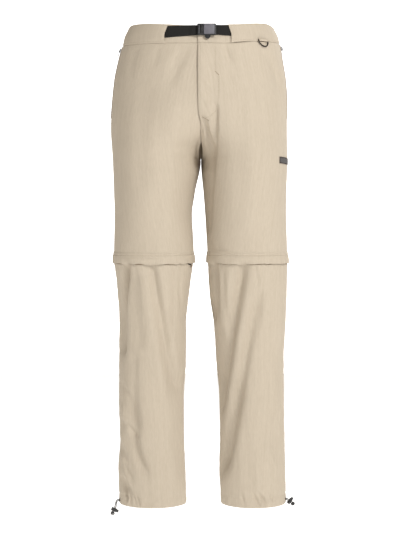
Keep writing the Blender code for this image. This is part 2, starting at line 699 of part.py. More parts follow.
def make_side_zips(tape, metal):
    """Closed zips of the hand pockets, lying along the side seams, with slider and hanging pull."""
    for side in SIDES:
        rows = []
        for i in range(POCKET_ZIP_ROWS + 1):
            level = POCKET_ZIP_TOP + (POCKET_ZIP_BOTTOM - POCKET_ZIP_TOP) * i / POCKET_ZIP_ROWS
            depth = abs(read(OUTLINE, COLUMNS, "front", level))
            row = [
                layer(side, "front", POCKET_ZIP_WIDTH / 2 / depth, level, *POCKET_ZIP_EDGE),
                layer(side, "front", TEETH_TURN, level, *POCKET_ZIP_TEETH),
                layer(side, "back", TEETH_TURN, level, *POCKET_ZIP_TEETH),
                layer(side, "back", POCKET_ZIP_BACK / 2 / depth, level, *POCKET_ZIP_EDGE),
            ]
            rows.append(row)
        wall(f"pocket_zip_{side}", rows, tape)


def oriented_block(name, size, centre, x_way, y_way, material, bevel):
    """A rounded block turned so that its X and Y lie along two directions."""
    x_way = x_way.normalized()
    y_way = (y_way - x_way * y_way.dot(x_way)).normalized()
    z_way = x_way.cross(y_way)
    turn = Matrix((x_way, y_way, z_way)).transposed()
    return block(name, size, centre, material, bevel, turn)


def slider_place(kind, side):
    """Where a zip's slider lies: its middle on the cloth, outward, and the zip's direction."""
    if kind == "pocket":
        level = POCKET_ZIP_TOP - POCKET_SLIDER_DROP
        place, outward = skin(side, "front", TEETH_TURN, level)
        up = skin(side, "front", TEETH_TURN, level + 0.005)[0] - skin(side, "front", TEETH_TURN, level - 0.005)[0]
        return place + outward * (POCKET_ZIP_TEETH[0] + SEAM_GAP), outward, up.normalized()
    half, x = KNEE_SLIDERS[side]
    angle = angle_at(side, half, x, KNEE_SLIDER_LEVEL)
    place, outward = skin(side, half, angle, KNEE_SLIDER_LEVEL)
    ahead = skin(side, half, angle + 0.05, KNEE_SLIDER_LEVEL)[0] - skin(side, half, angle - 0.05, KNEE_SLIDER_LEVEL)[0]
    return place + outward * KNEE_SLIDER_CLEAR, outward, ahead.normalized()


def pull_frame(kind, side):
    """A pull tab's hinge point at its top, and the directions out, down and along the hinge."""
    place, outward, along = slider_place(kind, side)
    down = -along if kind == "pocket" else Vector((0, 0, -1))
    outward = (outward - down * outward.dot(down)).normalized()
    sideways = outward.cross(down)
    top = place + outward * (SLIDER_THICK + SEAM_GAP + PULL_THICK / 2)
    if kind == "knee":
        top += down * KNEE_PULL_SHIFT[0] + along * KNEE_PULL_SHIFT[1]
    return top, outward, down, sideways


def make_pulls(metal, cord_material):
    """The slider on each zip and the pull tab that hangs before it."""
    for kind, (length, width) in PULLS.items():
        for side in SIDES:
            place, outward, along = slider_place(kind, side)
            centre = place + outward * SLIDER_THICK / 2
            size = (SLIDER_LENGTH, SLIDER_THICK, SLIDER_WIDTH)
            oriented_block(f"{kind}_slider_{side}", size, centre, along, outward, metal, 0.0004)
            top, outward, down, sideways = pull_frame(kind, side)
            size = (width, PULL_THICK, length)
            middle = top + down * length / 2
            oriented_block(f"{kind}_pull_{side}", size, middle, sideways, outward, cord_material, 0.0004)


def make_badge(dark, grey):
    """A small patch sewn on the outer thigh, bare, with a raised border round a plain face."""
    for name, inset, out, thick, material in (
        ("badge", 0.0, SEAM_GAP + BADGE_THICK, BADGE_THICK, dark),
        ("badge_face", BADGE_BORDER, 2 * SEAM_GAP + BADGE_THICK + BADGE_FACE_THICK, BADGE_FACE_THICK, grey),
    ):
        rows = []
        for i in range(3):
            level = BADGE_LEVEL + (BADGE_HEIGHT / 2 - inset) * (1 - i)
            first, last = BADGE_TURN
            edge = inset / BADGE_DISTANCE
            turns = [first + edge + (last - first - 2 * edge) * k / 6 for k in range(7)]
            rows.append([layer("left", "front", a, level, out, thick) for a in turns])
        wall(name, rows, material)


# Points of each hem cord, chosen by hand: out of the eyelet, through the lock, round and back again
CORD_Y = -0.0135
CORD_ROUTES = {
    "right": [
        (-0.1810, -1.0223),
        (-0.1842, -1.0224),
        (-0.1872, -1.0245),
        (-0.1890, -1.0295),
        (-0.1901, -1.0345),
        (-0.1917, -1.0400),
        (-0.1936, -1.0442),
        (-0.1955, -1.0483),
        (-0.1984, -1.0505),
        (-0.1993, -1.0532),
        (-0.1973, -1.0556),
        (-0.1944, -1.0560),
        (-0.1924, -1.0537),
        (-0.1931, -1.0493),
        (-0.1912, -1.0452),
        (-0.1894, -1.0411),
        (-0.1880, -1.0370),
        (-0.1874, -1.0320),
        (-0.1866, -1.0281),
        (-0.1845, -1.0252),
        (-0.1810, -1.0246),
    ],
    "left": [
        (0.1890, -1.0197),
        (0.1916, -1.0199),
        (0.1944, -1.0217),
        (0.1983, -1.0248),
        (0.2018, -1.0276),
        (0.2055, -1.0280),
        (0.2077, -1.0303),
        (0.2070, -1.0334),
        (0.2040, -1.0348),
        (0.2013, -1.0334),
        (0.2002, -1.0296),
        (0.1967, -1.0268),
        (0.1928, -1.0237),
        (0.1911, -1.0225),
        (0.1890, -1.0220),
    ],
}


def make_hem_fittings(cord_material, plastic, metal):
    """At each outer hem: an eyelet, a cord doubled through it, and a lock with its press button."""
    for side in SIDES:
        place, outward = skin(side, "front", EYELET_ANGLE, EYELET_LEVEL[side], SEAM_GAP + EYELET_WIRE / 2)
        sideways = Vector((0, 0, 1)).cross(outward).normalized()
        ring = []
        for k in range(EYELET_STEPS):
            t = 2 * math.pi * k / EYELET_STEPS
            ring.append(place + sideways * EYELET_RADIUS * math.cos(t) + Vector((0, 0, EYELET_RADIUS * math.sin(t))))
        tube(f"hem_eyelet_{side}", ring, EYELET_WIRE / 2, metal, closed=True)
        route = [Vector((x, CORD_Y, z)) for x, z in CORD_ROUTES[side]]
        tube(f"hem_cord_{side}", smooth_route(route, 2), CORD / 2, cord_material)
        middle = Vector(LOCKS[side]["middle"])
        axis = Vector(LOCKS[side]["axis"]).normalized()
        turn = Vector((1, 0, 0)).rotation_difference(axis).to_matrix()
        bm = rod(LOCK_RADIUS, LOCK_LENGTH)
        ends = [e for e in bm.edges if abs(e.verts[0].co.x - e.verts[1].co.x) < 1e-6]
        bmesh.ops.bevel(bm, geom=ends, offset=0.0009, segments=2, profile=0.5, affect="EDGES")
        place_lock(bm, turn, middle)
        lock = finish(f"cord_lock_{side}", bm, plastic)
        bm = rod(LOCK_BORE, LOCK_BORE_DEPTH + 0.002)
        bmesh.ops.translate(bm, vec=(LOCK_LENGTH / 2 - LOCK_BORE_DEPTH / 2 + 0.001, 0, 0), verts=bm.verts)
        place_lock(bm, turn, middle)
        cut(lock, finish("bore", bm, plastic))
        slot = block("slot", (CORD_SLOT[0], CORD_SLOT[1], 0.02), (0, 0, 0), plastic)
        slot.data.transform(Matrix.Translation(middle) @ turn.to_4x4())
        cut(lock, slot)
        bm = rod(BUTTON_RADIUS, BUTTON_LENGTH)
        out_end = [e for e in bm.edges if e.verts[0].co.x > 0 and e.verts[1].co.x > 0]
        bmesh.ops.bevel(bm, geom=out_end, offset=0.0006, segments=2, profile=0.5, affect="EDGES")
        shift = LOCK_LENGTH / 2 - BUTTON_INSIDE + BUTTON_LENGTH / 2
        bmesh.ops.translate(bm, vec=(shift, 0, 0), verts=bm.verts)
        place_lock(bm, turn, middle)
        finish(f"lock_button_{side}", bm, plastic)


def place_lock(bm, turn, middle):
    bmesh.ops.rotate(bm, matrix=turn, verts=bm.verts)
    bmesh.ops.translate(bm, vec=middle, verts=bm.verts)


def build():
    cloth = MATERIALS["cloth"]
    make_panels(cloth)
    make_waistband(cloth)
    make_knees(cloth, MATERIALS["tape"])
    make_belt(MATERIALS["webbing"])
    make_buckle(MATERIALS["black_plastic"], MATERIALS["grey_plastic"])
    make_ring(MATERIALS["black_metal"], cloth)
    make_side_zips(MATERIALS["tape"], MATERIALS["black_metal"])
    make_pulls(MATERIALS["black_metal"], MATERIALS["pull_cord"])
    make_badge(MATERIALS["badge_border"], MATERIALS["badge_face"])
    make_hem_fittings(MATERIALS["hem_cord"], MATERIALS["black_plastic"], MATERIALS["black_metal"])


def make_material(name, colour, roughness, metallic):
    material = bpy.data.materials.new(name)
    material.use_nodes = True
    shader = material.node_tree.nodes["Principled BSDF"]
    shader.inputs["Base Color"].default_value = (*colour, 1.0)
    shader.inputs["Roughness"].default_value = roughness
    shader.inputs["Metallic"].default_value = metallic
    return material


for old in list(bpy.data.objects):
    bpy.data.objects.remove(old, do_unlink=True)
PART = bpy.data.collections.new("outdoor_trousers")
CUTTERS = bpy.data.collections.new("cutters")
bpy.context.scene.collection.children.link(PART)
bpy.context.scene.collection.children.link(CUTTERS)
MATERIALS = {
    "cloth": make_material("cloth", (0.58, 0.50, 0.38), 0.8, 0.0),
    "tape": make_material("tape", (0.36, 0.28, 0.20), 0.8, 0.0),
    "webbing": make_material("webbing", (0.015, 0.014, 0.013), 0.75, 0.0),
    "black_plastic": make_material("black_plastic", (0.02, 0.02, 0.022), 0.4, 0.0),
    "grey_plastic": make_material("grey_plastic", (0.18, 0.17, 0.19), 0.35, 0.0),
    "black_metal": make_material("black_metal", (0.025, 0.022, 0.021), 0.35, 0.8),
    "pull_cord": make_material("pull_cord", (0.05, 0.04, 0.035), 0.7, 0.0),
    "hem_cord": make_material("hem_cord", (0.30, 0.27, 0.24), 0.8, 0.0),
    "badge_border": make_material("badge_border", (0.05, 0.035, 0.03), 0.6, 0.0),
    "badge_face": make_material("badge_face", (0.22, 0.21, 0.20), 0.6, 0.0),
}
build()
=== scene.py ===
import math

import bmesh
import bpy
import numpy as np
from mathutils import Matrix, Vector


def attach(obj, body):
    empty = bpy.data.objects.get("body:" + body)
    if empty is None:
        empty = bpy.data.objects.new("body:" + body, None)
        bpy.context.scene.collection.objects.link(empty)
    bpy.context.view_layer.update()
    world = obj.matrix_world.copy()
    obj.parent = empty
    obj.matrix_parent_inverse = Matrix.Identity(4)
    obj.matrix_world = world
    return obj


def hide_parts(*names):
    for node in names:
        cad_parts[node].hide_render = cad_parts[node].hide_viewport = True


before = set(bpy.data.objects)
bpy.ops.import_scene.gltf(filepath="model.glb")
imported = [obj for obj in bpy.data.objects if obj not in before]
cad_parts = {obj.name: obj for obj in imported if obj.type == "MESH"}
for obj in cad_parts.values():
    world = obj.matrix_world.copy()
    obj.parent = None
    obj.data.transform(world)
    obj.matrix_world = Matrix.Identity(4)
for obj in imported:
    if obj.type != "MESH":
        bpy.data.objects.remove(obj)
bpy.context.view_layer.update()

print("frame loaded:", len(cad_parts), "solids")


# Camera

photoView = {"place": (-0.0018, -3.2, -0.505), "seenHeight": 1.1886}


def makeCamera():
    camera = bpy.data.objects.new("photoCamera", bpy.data.cameras.new("photoCamera"))
    bpy.context.scene.collection.objects.link(camera)
    camera.location = photoView["place"]
    camera.rotation_euler = (math.pi / 2, 0, 0)
    camera.data.sensor_fit = "VERTICAL"
    camera.data.sensor_height = 24
    camera.data.lens = 24 * -photoView["place"][1] / photoView["seenHeight"]
    bpy.context.scene.camera = camera


makeCamera()
print("camera set")


# Small helpers

sides = {"right": -1, "left": 1}  # the wearer's own sides


def newObject(name, bm, material, smooth=60):
    mesh = bpy.data.meshes.new(name)
    bm.to_mesh(mesh)
    bm.free()
    mesh.materials.append(material)
    obj = bpy.data.objects.new(name, mesh)
    bpy.context.scene.collection.objects.link(obj)
    mesh.shade_smooth()
    mesh.set_sharp_from_angle(angle=math.radians(smooth))
    return obj


def ramp(value, start, end):
    t = np.clip((value - start) / (end - start), 0, 1)
    return t * t * (3 - 2 * t)


def curveThrough(rows, column):
    # a smooth curve through one column of a table, by height
    at = -np.array([row[0] for row in rows])
    value = np.array([row[column] for row in rows], dtype=float)
    step = np.diff(value) / np.diff(at)
    slope = np.zeros(len(at))
    same = step[:-1] * step[1:] > 0
    slope[1:-1][same] = 2 * step[:-1][same] * step[1:][same] / (step[:-1] + step[1:])[same]

    def height(level):
        here = np.clip(-np.asarray(level, dtype=float), at[0], at[-1])
        i = np.clip(np.searchsorted(at, here, side="right") - 1, 0, len(at) - 2)
        run = at[i + 1] - at[i]
        t = (here - at[i]) / run
        start = value[i] * (2 * t**3 - 3 * t**2 + 1) + slope[i] * run * (t**3 - 2 * t**2 + t)
        return start + value[i + 1] * (3 * t**2 - 2 * t**3) + slope[i + 1] * run * (t**3 - t**2)

    return height


# The worn form, the same tables as the solids: heights, the two edges of each leg, front and back depth,
# where the side seam and the inseam run, and the lean of a level ring

formRows = [
    (0.0300, 0.1600, 0.0, 0.1625, 0.0, -0.104, 0.104, 0.000, 0.030, 0.076),
    (0.0062, 0.1686, 0.0, 0.1700, 0.0, -0.106, 0.108, 0.000, 0.030, 0.076),
    (-0.0133, 0.1739, 0.0, 0.1751, 0.0, -0.109, 0.113, 0.000, 0.030, 0.076),
    (-0.0445, 0.1824, 0.0, 0.1811, 0.0, -0.112, 0.122, 0.002, 0.030, 0.055),
    (-0.0913, 0.1920, 0.0, 0.1889, 0.0, -0.114, 0.134, 0.004, 0.030, 0.020),
    (-0.1426, 0.1974, 0.0, 0.1922, 0.0, -0.114, 0.141, 0.006, 0.030, 0.000),
    (-0.1961, 0.2007, 0.0, 0.1922, 0.0, -0.110, 0.137, 0.006, 0.030, 0.000),
    (-0.2670, 0.1962, 0.0, 0.1931, 0.0, -0.105, 0.116, 0.004, 0.030, 0.000),
    (-0.3411, 0.1933, 0.0135, 0.1907, 0.0060, -0.102, 0.101, 0.000, 0.020, 0.000),
    (-0.3895, 0.1916, 0.0195, 0.1900, 0.0098, -0.098, 0.092, -0.004, 0.010, 0.010),
    (-0.4727, 0.1929, 0.0156, 0.1918, 0.0145, -0.090, 0.068, -0.012, -0.008, 0.045),
    (-0.5563, 0.1849, 0.0252, 0.1909, 0.0183, -0.084, 0.060, -0.012, -0.008, 0.020),
    (-0.6299, 0.1811, 0.0322, 0.1887, 0.0290, -0.078, 0.069, -0.006, -0.002, 0.000),
    (-0.7090, 0.1820, 0.0326, 0.1851, 0.0343, -0.074, 0.076, 0.000, 0.004, 0.000),
    (-0.8005, 0.1820, 0.0377, 0.1851, 0.0410, -0.070, 0.071, 0.000, 0.003, 0.000),
    (-0.8886, 0.1791, 0.0368, 0.1864, 0.0428, -0.066, 0.062, 0.000, 0.000, 0.010),
    (-0.9539, 0.1835, 0.0341, 0.1882, 0.0415, -0.063, 0.056, -0.002, -0.002, 0.050),
    (-1.0300, 0.1813, 0.0317, 0.1893, 0.0444, -0.061, 0.053, -0.004, -0.004, 0.090),
]
formColumns = ("rightOut", "rightIn", "leftOut", "leftIn", "front", "back", "sideY", "inseamY", "lean")
form = {name: curveThrough(formRows, i + 1) for i, name in enumerate(formColumns)}

riseRows = [
    (0.0300, 0.00, 0.00),
    (-0.0800, 0.00, 0.00),
    (-0.1200, 0.05, 0.05),
    (-0.1500, 0.16, 0.13),
    (-0.1900, 0.42, 0.30),
    (-0.2200, 0.65, 0.50),
    (-0.2400, 0.84, 0.70),
    (-0.2520, 0.93, 0.85),
    (-0.2600, 0.975, 0.94),
    (-0.2670, 1.00, 1.00),
    (-1.0300, 1.00, 1.00),
]
form["frontOwn"] = curveThrough(riseRows, 1)
form["backOwn"] = curveThrough(riseRows, 2)

heights = {
    "waistTop": 0.0257,
    "frontLayerTop": 0.0213,
    "waistSeam": -0.0143,
    "flapTop": -0.4695,
    "zipTop": -0.4895,
    "flapBottom": -0.4955,
    "zipBottom": -0.4995,
    "liftEnd": -0.0600,
    "hemStitch": -1.0080,
    "hem": -1.0280,
}

# How far the top edge in front rises towards the sides, and the left seam below it,
# by distance from the middle
liftRows = [
    (0.0000, 0.0000, 0.0000, 0.0000),
    (-0.0600, 0.0000, 0.0000, 0.0000),
    (-0.0740, 0.0003, 0.0004, 0.0011),
    (-0.1020, 0.0026, 0.0032, 0.0042),
    (-0.1280, 0.0044, 0.0055, 0.0058),
    (-0.1420, 0.0046, 0.0060, 0.0058),
    (-0.1490, 0.0042, 0.0048, 0.0057),
    (-0.1550, 0.0028, 0.0026, 0.0056),
    (-0.1610, 0.0000, 0.0000, 0.0055),
    (-0.2000, 0.0000, 0.0000, 0.0055),
]
lift = {name: curveThrough(liftRows, i + 1) for i, name in enumerate(("rightTop", "leftTop", "leftSeam"))}

# The left front laps over the right one, and stands out by a step, and by more below the waist
fly = {
    "lap": 0.006,
    "lapEnds": (-0.160, -0.195),
    "step": 0.0036,
    "stepWidth": 0.030,
    "stepEnds": (-0.170, -0.205),
    "more": 0.0016,
    "moreStarts": (-0.045, -0.018),
}

# Folds and creases, one row each: from x0, z0 to x1, z1, sideways bow, half width towards -x and towards +x,
# and height out of the cloth
frontFolds = [
    (-0.1594, -0.502, -0.1700, -0.691, 0.006, 0.015, 0.0055, -0.0112),
    (-0.1070, -0.500, -0.0480, -0.784, 0.003, 0.018, 0.0100, -0.0120),
    (-0.1190, -0.513, -0.0822, -0.752, 0.000, 0.017, 0.017, 0.0030),
    (-0.1520, -0.790, -0.1420, -0.870, 0.000, 0.016, 0.0095, -0.0090),
    (-0.1480, -0.870, -0.1200, -0.955, 0.003, 0.017, 0.0080, -0.0112),
    (-0.1720, -0.900, -0.1500, -0.955, 0.000, 0.010, 0.006, -0.0045),
    (0.0330, -0.502, 0.0360, -0.610, 0.000, 0.012, 0.0045, -0.0062),
    (0.0925, -0.500, 0.0340, -0.830, 0.002, 0.014, 0.0120, -0.0155),
    (0.1235, -0.575, 0.0830, -0.770, 0.000, 0.013, 0.0120, -0.0105),
    (0.0830, -0.770, 0.0460, -0.955, 0.000, 0.016, 0.0135, -0.0175),
    (0.1700, -0.850, 0.1560, -0.915, 0.000, 0.012, 0.010, -0.0048),
    (0.1434, -0.036, 0.1730, -0.120, -0.004, 0.012, 0.007, -0.0050),
    (0.0550, -0.028, 0.0720, -0.080, 0.000, 0.011, 0.007, -0.0030),
    (-0.0298, -0.036, -0.0664, -0.110, 0.000, 0.012, 0.010, -0.0036),
]
backFolds = [
    (-0.1500, -0.205, -0.0300, -0.250, 0.010, 0.015, 0.015, -0.0045),
    (0.1450, -0.210, 0.0320, -0.255, -0.010, 0.015, 0.015, -0.0045),
    (-0.1350, -0.245, -0.0450, -0.275, 0.008, 0.012, 0.012, -0.0030),
    (0.1250, -0.250, 0.0400, -0.283, -0.008, 0.012, 0.012, -0.0032),
    (-0.1650, -0.435, -0.0500, -0.452, 0.005, 0.013, 0.013, -0.0045),
    (0.1600, -0.425, 0.0420, -0.455, -0.005, 0.013, 0.013, -0.0045),
    (-0.1600, -0.530, -0.0480, -0.560, -0.006, 0.013, 0.013, -0.0050),
    (0.1650, -0.528, 0.0450, -0.552, 0.006, 0.013, 0.013, -0.0050),
    (-0.0800, -0.590, -0.1500, -0.800, 0.004, 0.015, 0.015, -0.0045),
    (0.0750, -0.600, 0.1450, -0.820, -0.004, 0.015, 0.015, -0.0045),
    (-0.1400, -0.860, -0.0700, -0.960, 0.000, 0.013, 0.013, -0.0040),
    (0.1450, -0.880, 0.0800, -0.970, 0.000, 0.013, 0.013, -0.0040),
    (-0.0350, -0.040, -0.1100, -0.130, 0.004, 0.014, 0.014, -0.0028),
    (0.0400, -0.040, 0.1150, -0.125, -0.004, 0.014, 0.014, -0.0028),
]
# Lesser creases that the solids leave out, with shorter ends
frontCreases = [
    (0.0069, -0.188, 0.0215, -0.245, 0.000, 0.008, 0.0038, -0.0070),
    (0.0215, -0.245, 0.0200, -0.300, 0.000, 0.010, 0.0050, -0.0075),
    (0.0200, -0.300, 0.0160, -0.430, -0.002, 0.009, 0.0050, -0.0060),
    (0.0345, -0.158, 0.0312, -0.245, 0.000, 0.009, 0.0040, -0.0058),
    (0.0312, -0.245, 0.0225, -0.340, 0.000, 0.008, 0.0045, -0.0052),
    (0.0075, -0.192, 0.0120, -0.250, 0.000, 0.004, 0.0035, 0.0020),
    (0.0170, -0.438, 0.0270, -0.466, 0.000, 0.004, 0.0035, -0.0030),
    (0.0270, -0.466, 0.0560, -0.4725, 0.000, 0.003, 0.0030, -0.0022),
    (-0.1730, -0.815, -0.1590, -0.880, 0.000, 0.005, 0.0040, 0.0030),
    (-0.1740, -0.870, -0.1570, -0.935, 0.002, 0.005, 0.0040, 0.0030),
    (-0.1745, -0.925, -0.1560, -0.985, 0.002, 0.004, 0.0035, 0.0026),
    (-0.1590, -0.498, -0.1690, -0.690, 0.006, 0.010, 0.0035, -0.0062),
    (-0.1700, -0.500, -0.1765, -0.680, 0.006, 0.009, 0.008, 0.0030),
    (-0.1470, -0.520, -0.1330, -0.680, 0.000, 0.020, 0.011, -0.0040),
    (0.0310, -0.500, 0.0295, -0.625, 0.000, 0.010, 0.0030, -0.0080),
    (0.0500, -0.024, 0.0645, -0.063, 0.000, 0.006, 0.004, -0.0020),
    (0.0840, -0.030, 0.0910, -0.050, 0.000, 0.006, 0.005, -0.0017),
    (0.0555, -0.087, 0.0760, -0.124, 0.000, 0.010, 0.008, -0.0020),
    (0.1080, -0.033, 0.1160, -0.075, 0.000, 0.007, 0.006, -0.0015),
    (0.0054, -0.125, 0.0267, -0.152, 0.000, 0.004, 0.004, -0.0015),
    (0.0030, -0.110, 0.0250, -0.134, 0.001, 0.004, 0.004, -0.0014),
    (0.0060, -0.150, 0.0150, -0.170, 0.000, 0.003, 0.003, -0.0017),
    (0.0050, -0.045, 0.0180, -0.075, 0.002, 0.005, 0.005, -0.0014),
    (0.0120, -0.188, 0.0230, -0.178, 0.000, 0.003, 0.003, -0.0020),
    (0.0050, -0.190, 0.0100, -0.230, 0.000, 0.004, 0.003, 0.0027),
    (0.0150, -0.215, 0.0290, -0.262, 0.000, 0.006, 0.004, -0.0024),
    (-0.0040, -0.225, -0.0110, -0.285, 0.000, 0.006, 0.004, -0.0020),
    (-0.0450, -0.034, -0.0640, -0.082, 0.000, 0.007, 0.007, -0.0020),
    (-0.0900, -0.030, -0.1010, -0.070, 0.000, 0.008, 0.008, -0.0015),
    (-0.1400, -0.030, -0.1560, -0.090, 0.003, 0.008, 0.008, -0.0017),
    (-0.1180, -0.120, -0.1300, -0.330, 0.004, 0.016, 0.016, -0.0020),
    (-0.0620, -0.150, -0.0700, -0.420, -0.004, 0.018, 0.018, 0.0020),
    (0.0850, -0.140, 0.0920, -0.380, 0.004, 0.017, 0.017, -0.0019),
    (0.1300, -0.180, 0.1260, -0.440, 0.000, 0.015, 0.015, -0.0017),
    (-0.0420, -0.503, -0.0465, -0.560, 0.000, 0.005, 0.004, -0.0020),
    (-0.0465, -0.560, -0.0333, -0.648, 0.000, 0.005, 0.004, -0.0020),
    (-0.0540, -0.508, -0.0590, -0.640, 0.000, 0.007, 0.005, -0.0019),
    (-0.1717, -0.846, -0.1410, -0.880, 0.000, 0.006, 0.004, -0.0034),
    (-0.1717, -0.941, -0.1495, -0.974, 0.000, 0.006, 0.004, -0.0031),
    (-0.1740, -0.974, -0.1607, -1.005, 0.000, 0.005, 0.004, -0.0034),
    (-0.1740, -0.760, -0.1560, -0.800, 0.000, 0.007, 0.005, -0.0024),
    (-0.1450, -0.700, -0.1350, -0.860, 0.004, 0.012, 0.008, -0.0034),
    (-0.0520, -0.860, -0.0430, -0.960, 0.000, 0.008, 0.006, -0.0024),
    (0.0500, -0.515, 0.0560, -0.640, 0.002, 0.008, 0.005, -0.0022),
    (0.0720, -0.508, 0.0650, -0.560, 0.000, 0.006, 0.004, -0.0017),
    (0.1180, -0.503, 0.1250, -0.545, 0.000, 0.005, 0.004, -0.0020),
    (0.1320, -0.560, 0.1270, -0.640, 0.000, 0.008, 0.005, -0.0022),
    (0.0420, -0.640, 0.0500, -0.760, 0.000, 0.009, 0.006, -0.0024),
    (0.0570, -0.830, 0.0500, -0.930, 0.000, 0.007, 0.006, -0.0024),
    (0.1460, -0.891, 0.1654, -0.958, 0.000, 0.007, 0.006, 0.0024),
    (0.1000, -0.870, 0.1080, -0.990, 0.000, 0.012, 0.010, -0.0020),
    (0.1500, -0.640, 0.1560, -0.800, 0.003, 0.014, 0.012, -0.0017),
    (-0.1717, -0.986, -0.1626, -1.018, 0.000, 0.0045, 0.0026, -0.0074),
    (-0.1702, -0.972, -0.1548, -1.001, 0.000, 0.006, 0.0040, -0.0064),
    (-0.1557, -1.005, -0.1541, -1.026, 0.000, 0.003, 0.0024, -0.0038),
    (-0.1480, -1.006, -0.1430, -1.026, 0.000, 0.003, 0.0024, -0.0032),
    (-0.1400, -1.010, -0.1340, -1.028, 0.000, 0.003, 0.0024, -0.0038),
    (0.1160, -1.004, 0.1278, -1.029, 0.000, 0.004, 0.0035, -0.0045),
    (0.1270, -1.002, 0.1446, -1.028, 0.000, 0.004, 0.0035, -0.0048),
    (0.1500, -1.006, 0.1610, -1.022, 0.000, 0.003, 0.0030, -0.0032),
    (0.0900, -1.006, 0.0960, -1.028, 0.000, 0.004, 0.0030, -0.0029),
]
backCreases = [
    (-0.1250, -0.060, -0.0950, -0.160, 0.003, 0.010, 0.010, -0.0014),
    (0.1300, -0.055, 0.0980, -0.155, -0.003, 0.010, 0.010, -0.0014),
    (-0.0100, -0.120, -0.0350, -0.205, 0.003, 0.008, 0.008, -0.0016),
    (0.0110, -0.130, 0.0380, -0.210, -0.003, 0.008, 0.008, -0.0016),
    (-0.1000, -0.300, -0.0900, -0.420, 0.000, 0.016, 0.016, -0.0016),
    (0.1060, -0.305, 0.0950, -0.415, 0.000, 0.016, 0.016, -0.0016),
    (-0.1500, -0.470, -0.0700, -0.480, 0.003, 0.007, 0.007, -0.0018),
    (0.1520, -0.462, 0.0720, -0.474, -0.003, 0.007, 0.007, -0.0018),
    (-0.1560, -0.520, -0.0900, -0.516, 0.003, 0.006, 0.006, -0.0016),
    (0.0700, -0.520, 0.1350, -0.514, 0.003, 0.006, 0.006, -0.0016),
    (-0.0620, -0.620, -0.0850, -0.720, 0.004, 0.009, 0.007, -0.0018),
    (0.0640, -0.640, 0.0900, -0.740, 0.004, 0.007, 0.009, -0.0018),
    (-0.1520, -0.720, -0.1300, -0.850, 0.000, 0.010, 0.008, -0.0018),
    (0.1600, -0.730, 0.1350, -0.860, 0.000, 0.008, 0.010, -0.0018),
    (-0.0600, -0.800, -0.0750, -0.930, 0.000, 0.010, 0.010, -0.0016),
    (0.0700, -0.800, 0.0850, -0.930, 0.000, 0.010, 0.010, -0.0016),
]
creaseEnds = {"fold": 0.030, "crease": 0.014, "seamCalm": 0.022, "creaseCalm": 0.006}


def foldRise(rows, ends, x, z):
    total = np.zeros_like(x)
    for x0, z0, x1, z1, bow, lower, upper, height in rows:
        length = math.hypot(x1 - x0, z1 - z0)
        wayX, wayZ = (x1 - x0) / length, (z1 - z0) / length
        run = (x - x0) * wayX + (z - z0) * wayZ
        share = np.clip(run / length, 0, 1)
        across = (z - z0) * wayX - (x - x0) * wayZ + bow * 4 * share * (1 - share)
        across = across * (1 if wayZ < 0 else -1)
        width = np.where(across < 0, lower, upper)
        fade = ramp(run, -ends, ends) * (1 - ramp(run, length - ends, length + ends))
        total += height * fade * np.exp(-((across / width) ** 2))
    return total


crinkleTable = np.random.RandomState(7).rand(256, 256)


def softNoise(u, v, seed=0):
    # smooth noise from -1 to 1 on a fixed table of numbers
    u, v = u + seed * 17.3, v + seed * 31.7
    i, j = np.floor(u).astype(int), np.floor(v).astype(int)
    s, t = u - i, v - j
    s, t = s * s * (3 - 2 * s), t * t * (3 - 2 * t)
    at = lambda a, b: crinkleTable[(i + a) % 256, (j + b) % 256]
    low = at(0, 0) * (1 - s) + at(1, 0) * s
    high = at(0, 1) * (1 - s) + at(1, 1) * s
    return (low * (1 - t) + high * t) * 2 - 1


crotchGap = {"seam": 0.00015, "half": 0.0034, "opens": (-0.2240, -0.2480), "closes": (-0.2700, -0.3000)}


def legSection(side, half, level):
    outer = form[side + "Out"](level)
    inner = form[side + "In"](level) + crotchGap["seam"]
    if half == "front":
        opened = ramp(level, *crotchGap["opens"]) * (1 - ramp(level, *crotchGap["closes"]))
        inner = inner + crotchGap["half"] * opened
    own = form[half + "Own"](level)
    width = (outer - inner) / (1 + own)
    middle = outer - width
    lap = fly["lap"] * (1 - ramp(level, *fly["lapEnds"])) if (side, half) == ("left", "front") else 0
    last = np.arccos(np.clip((inner - lap * (1 - own) - middle) / width, -1, 1))
    return middle, width, last


def waistLift(side, half, across, level):
    upper = ramp(level, heights["waistSeam"], heights["waistTop"])
    top = lift[side + "Top"](-across) if half == "front" else 0.0
    seam = lift["leftSeam"](-across) if side == "left" else 0.0
    return top * upper + seam * ramp(level, heights["liftEnd"], heights["waistSeam"]) * (1 - upper)


def bareForm(side, half, angle, level):
    # the plain form before any fold: angle runs from the side seam to the inner edge of a panel
    middle, width, _ = legSection(side, half, level)
    sideY, inseamY = form["sideY"](level), form["inseamY"](level)
    y = sideY + (inseamY - sideY) * angle / math.pi
    y = y + (form[half](level) - (sideY + inseamY) / 2) * np.sin(angle)
    across = middle + width * np.cos(angle)
    z = level + form["lean"](level) * y + waistLift(side, half, across, level)
    return np.stack([sides[side] * across, y, z], axis=-1)


def outwardAt(surface, side, half, angle, level, step):
    around = surface(side, half, angle + step, level) - surface(side, half, angle - step, level)
    up = surface(side, half, angle, level + step) - surface(side, half, angle, level - step)
    outward = np.cross(around, up)
    outward /= np.linalg.norm(outward, axis=-1, keepdims=True)
    return -outward if sides[side] * (1 if half == "front" else -1) > 0 else outward


